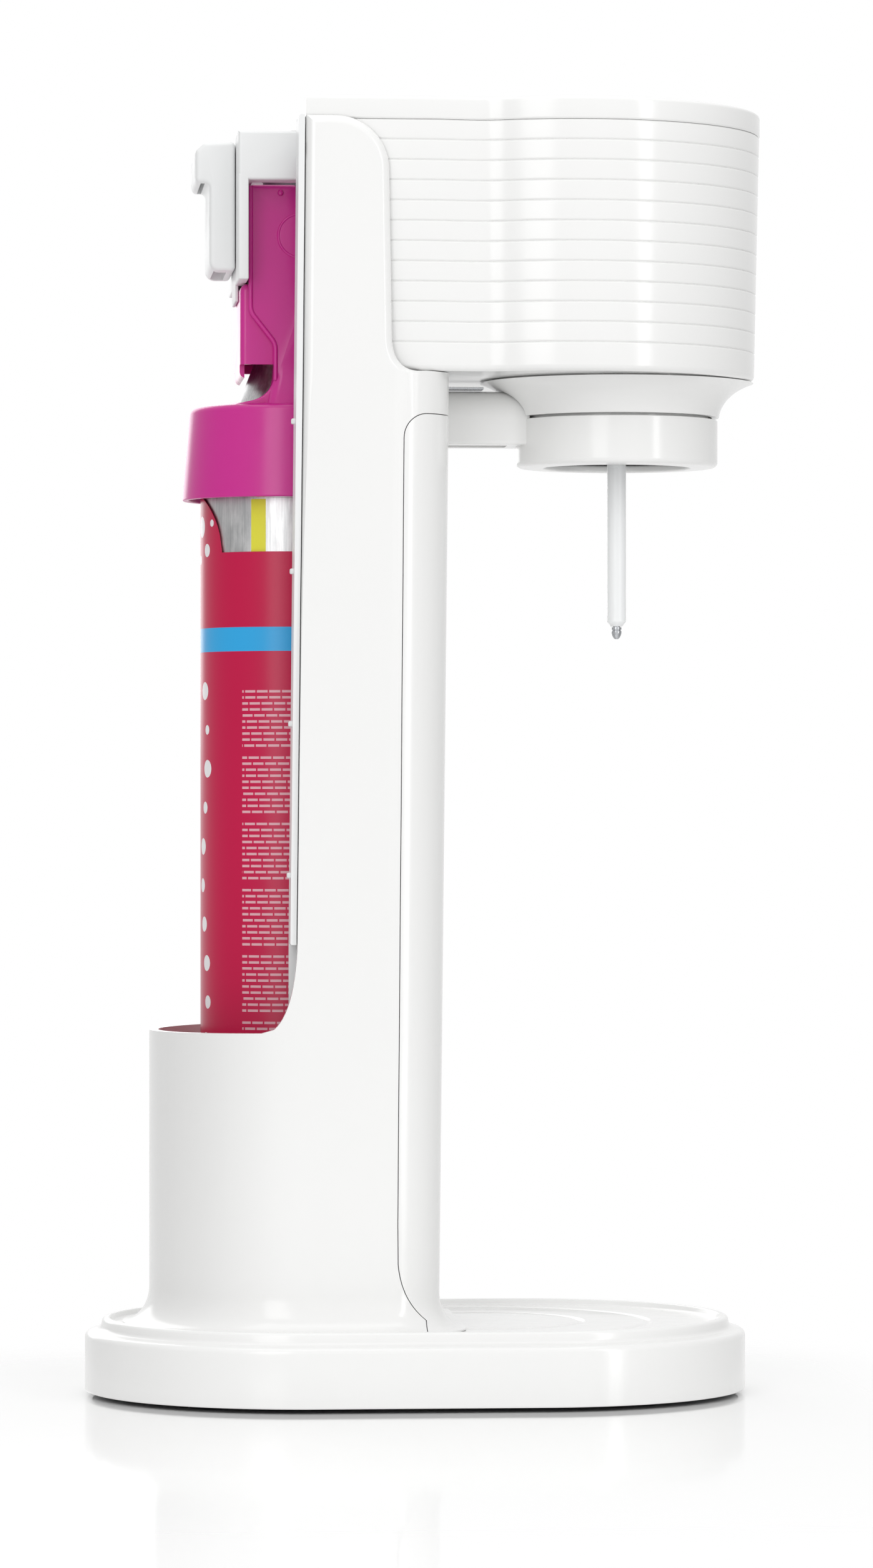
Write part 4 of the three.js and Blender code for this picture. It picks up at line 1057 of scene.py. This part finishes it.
LEVER_HALF = 38
STRIP_HALF = 12
GRIP_HALF = 20
lever_top = span("lever_yoke")[5]
LEVER_REAR = -63.9
LEVER_LOW = 404.4
middle = (LEVER_LOW + lever_top) / 2
reach = (lever_top - LEVER_LOW) / 2
fork_side = [(LEVER_REAR, lever_top), (LEVER_REAR, LEVER_LOW)]
fork_side += arc(LEVER_X, middle, reach, reach, -90, 90, 32)
yoke = plate("lever_yoke_visible", fork_side, -LEVER_HALF, LEVER_HALF, 1.0, 5)
combine(yoke, "DIFFERENCE", block(-59, 0, -28, 28, 390, 430, 1))
back = block(LEVER_REAR, LEVER_REAR + 3.4, -LEVER_HALF, LEVER_HALF, 371.5, LEVER_LOW + 2, 0.5)
strip = block(LEVER_REAR, LEVER_REAR + 1.1, -STRIP_HALF, STRIP_HALF, 366.2, 373, 0.3)
combine(yoke, "UNION", back, strip)
combine(yoke, "DIFFERENCE", rod("pin_hole", 2.7, -60, 60, LEVER_X, LEVER_Z, 40, "Y"))
settle(yoke, "lever", "satin_white", satin_abs, "lever_yoke")

grip_back = LEVER_REAR - 0.3
hook = [
    (grip_back, 418.9, 1.6), (-74.6, 418.3, 1.6), (-77.4, 415.6, 2), (-77.4, 405, 1.8), (-72.8, 405, 1.7),
    (-72.8, 375.6, 3.2), (grip_back, 375.6, 1.7),
]
lever_grip = plate("lever_grip_visible", rounded(hook, 8), -GRIP_HALF, GRIP_HALF, 1.4, 6)
combine(
    lever_grip, "DIFFERENCE",
    block(-75.6, -74.2, -17.5, 17.5, 400, 410, 0.3), block(-71.2, -67, -15, 15, 370, 380, 0.8),
)
settle(lever_grip, "lever", "satin_white", satin_abs, "lever_grip")

# ---- Studio ----------------------------------------------------------
# A white sweep without a horizon: a softly glossy floor that fades into the white surround,
# broad lamps in front and above, and darker sides that draw the edges of the white mouldings.


def floor_finish():
    """Polished white acrylic, fading out with distance from the machine."""
    material, tree, place = empty_material("white_acrylic_polished")
    axis = node(tree, "SeparateXYZ", {0: place}).outputs
    kept = 1
    for along, near, far in (
        (maths(tree, "ABSOLUTE", axis[0]), 0.12, 0.19), (axis[1], -0.1, -0.7), (axis[1], 0.08, 0.2),
    ):
        limits = {0: along, 1: near, 2: far, 3: 1, 4: 0}
        shown = node(tree, "MapRange", limits, interpolation_type="SMOOTHSTEP").outputs[0]
        kept = maths(tree, "MULTIPLY", shown, kept)
    surface = node(tree, "BsdfPrincipled", {"Base Color": colour("#ffffff"), "Roughness": 0.07, "IOR": 1.5})
    clear = node(tree, "BsdfTransparent")
    mixed = node(tree, "MixShader", {0: kept, 1: clear.outputs[0], 2: surface.outputs[0]})
    node(tree, "OutputMaterial", {"Surface": mixed.outputs[0]})
    return material


floor_rings = [[(r * math.cos(a), r * math.sin(a), 0) for a in full_turn(96)] for r in (0, 200, 1000)]
floor = skin("studio_floor", floor_rings, "open")
floor.data.materials.append(floor_finish())

world = bpy.data.worlds.new("white_sweep")
bpy.context.scene.world = world
world.use_nodes = True
sky = world.node_tree
sky.nodes.clear()
direction = node(sky, "SeparateXYZ", {0: node(sky, "TexCoord").outputs["Generated"]})
darker = ranged(sky, maths(sky, "ABSOLUTE", direction.outputs[0]), 0.9, 0.42, 0.35, 1)
seen = node(sky, "LightPath").outputs["Is Camera Ray"]
level = node(sky, "Mix", {0: seen, 2: darker, 3: 1.0}, data_type="FLOAT")
light = node(sky, "Background", {"Color": colour("#ffffff"), "Strength": level.outputs[0]})
node(sky, "OutputWorld", {"Surface": light.outputs[0]})

for name, place, size, power in (
    ("front_softbox", (-0.55, -1.3, 0.75), (0.5, 1.4), 4), ("front_strip", (0.9, -1.0, 0.5), (0.18, 1.3), 3),
    ("top_softbox", (0.0, -0.1, 1.5), (1.2, 0.9), 4), ("rear_softbox", (-0.4, 1.4, 0.8), (0.9, 1.2), 4),
):
    lamp = bpy.data.lights.new(name, "AREA")
    lamp.shape = "RECTANGLE"
    lamp.size, lamp.size_y = size
    lamp.energy = power
    holder = bpy.data.objects.new(name, lamp)
    holder.location = place
    aim = Vector((0, 0, 0.22)) - holder.location
    holder.rotation_euler = aim.to_track_quat("-Z", "Y").to_euler()
    bpy.context.scene.collection.objects.link(holder)

camera = bpy.data.cameras.new("camera")
camera.lens = 139.74
camera.sensor_width = 36
camera.sensor_fit = "AUTO"
camera.shift_y = 0.01335
camera.clip_end = 20
eye = bpy.data.objects.new("camera", camera)
eye.location = (-0.1532, -2.0459, 0.1979)
eye.rotation_euler = (math.radians(90), 0, math.radians(-4.41))
bpy.context.scene.collection.objects.link(eye)
bpy.context.scene.camera = eye
bpy.context.scene.view_settings.view_transform = "Standard"

bpy.context.view_layer.update()
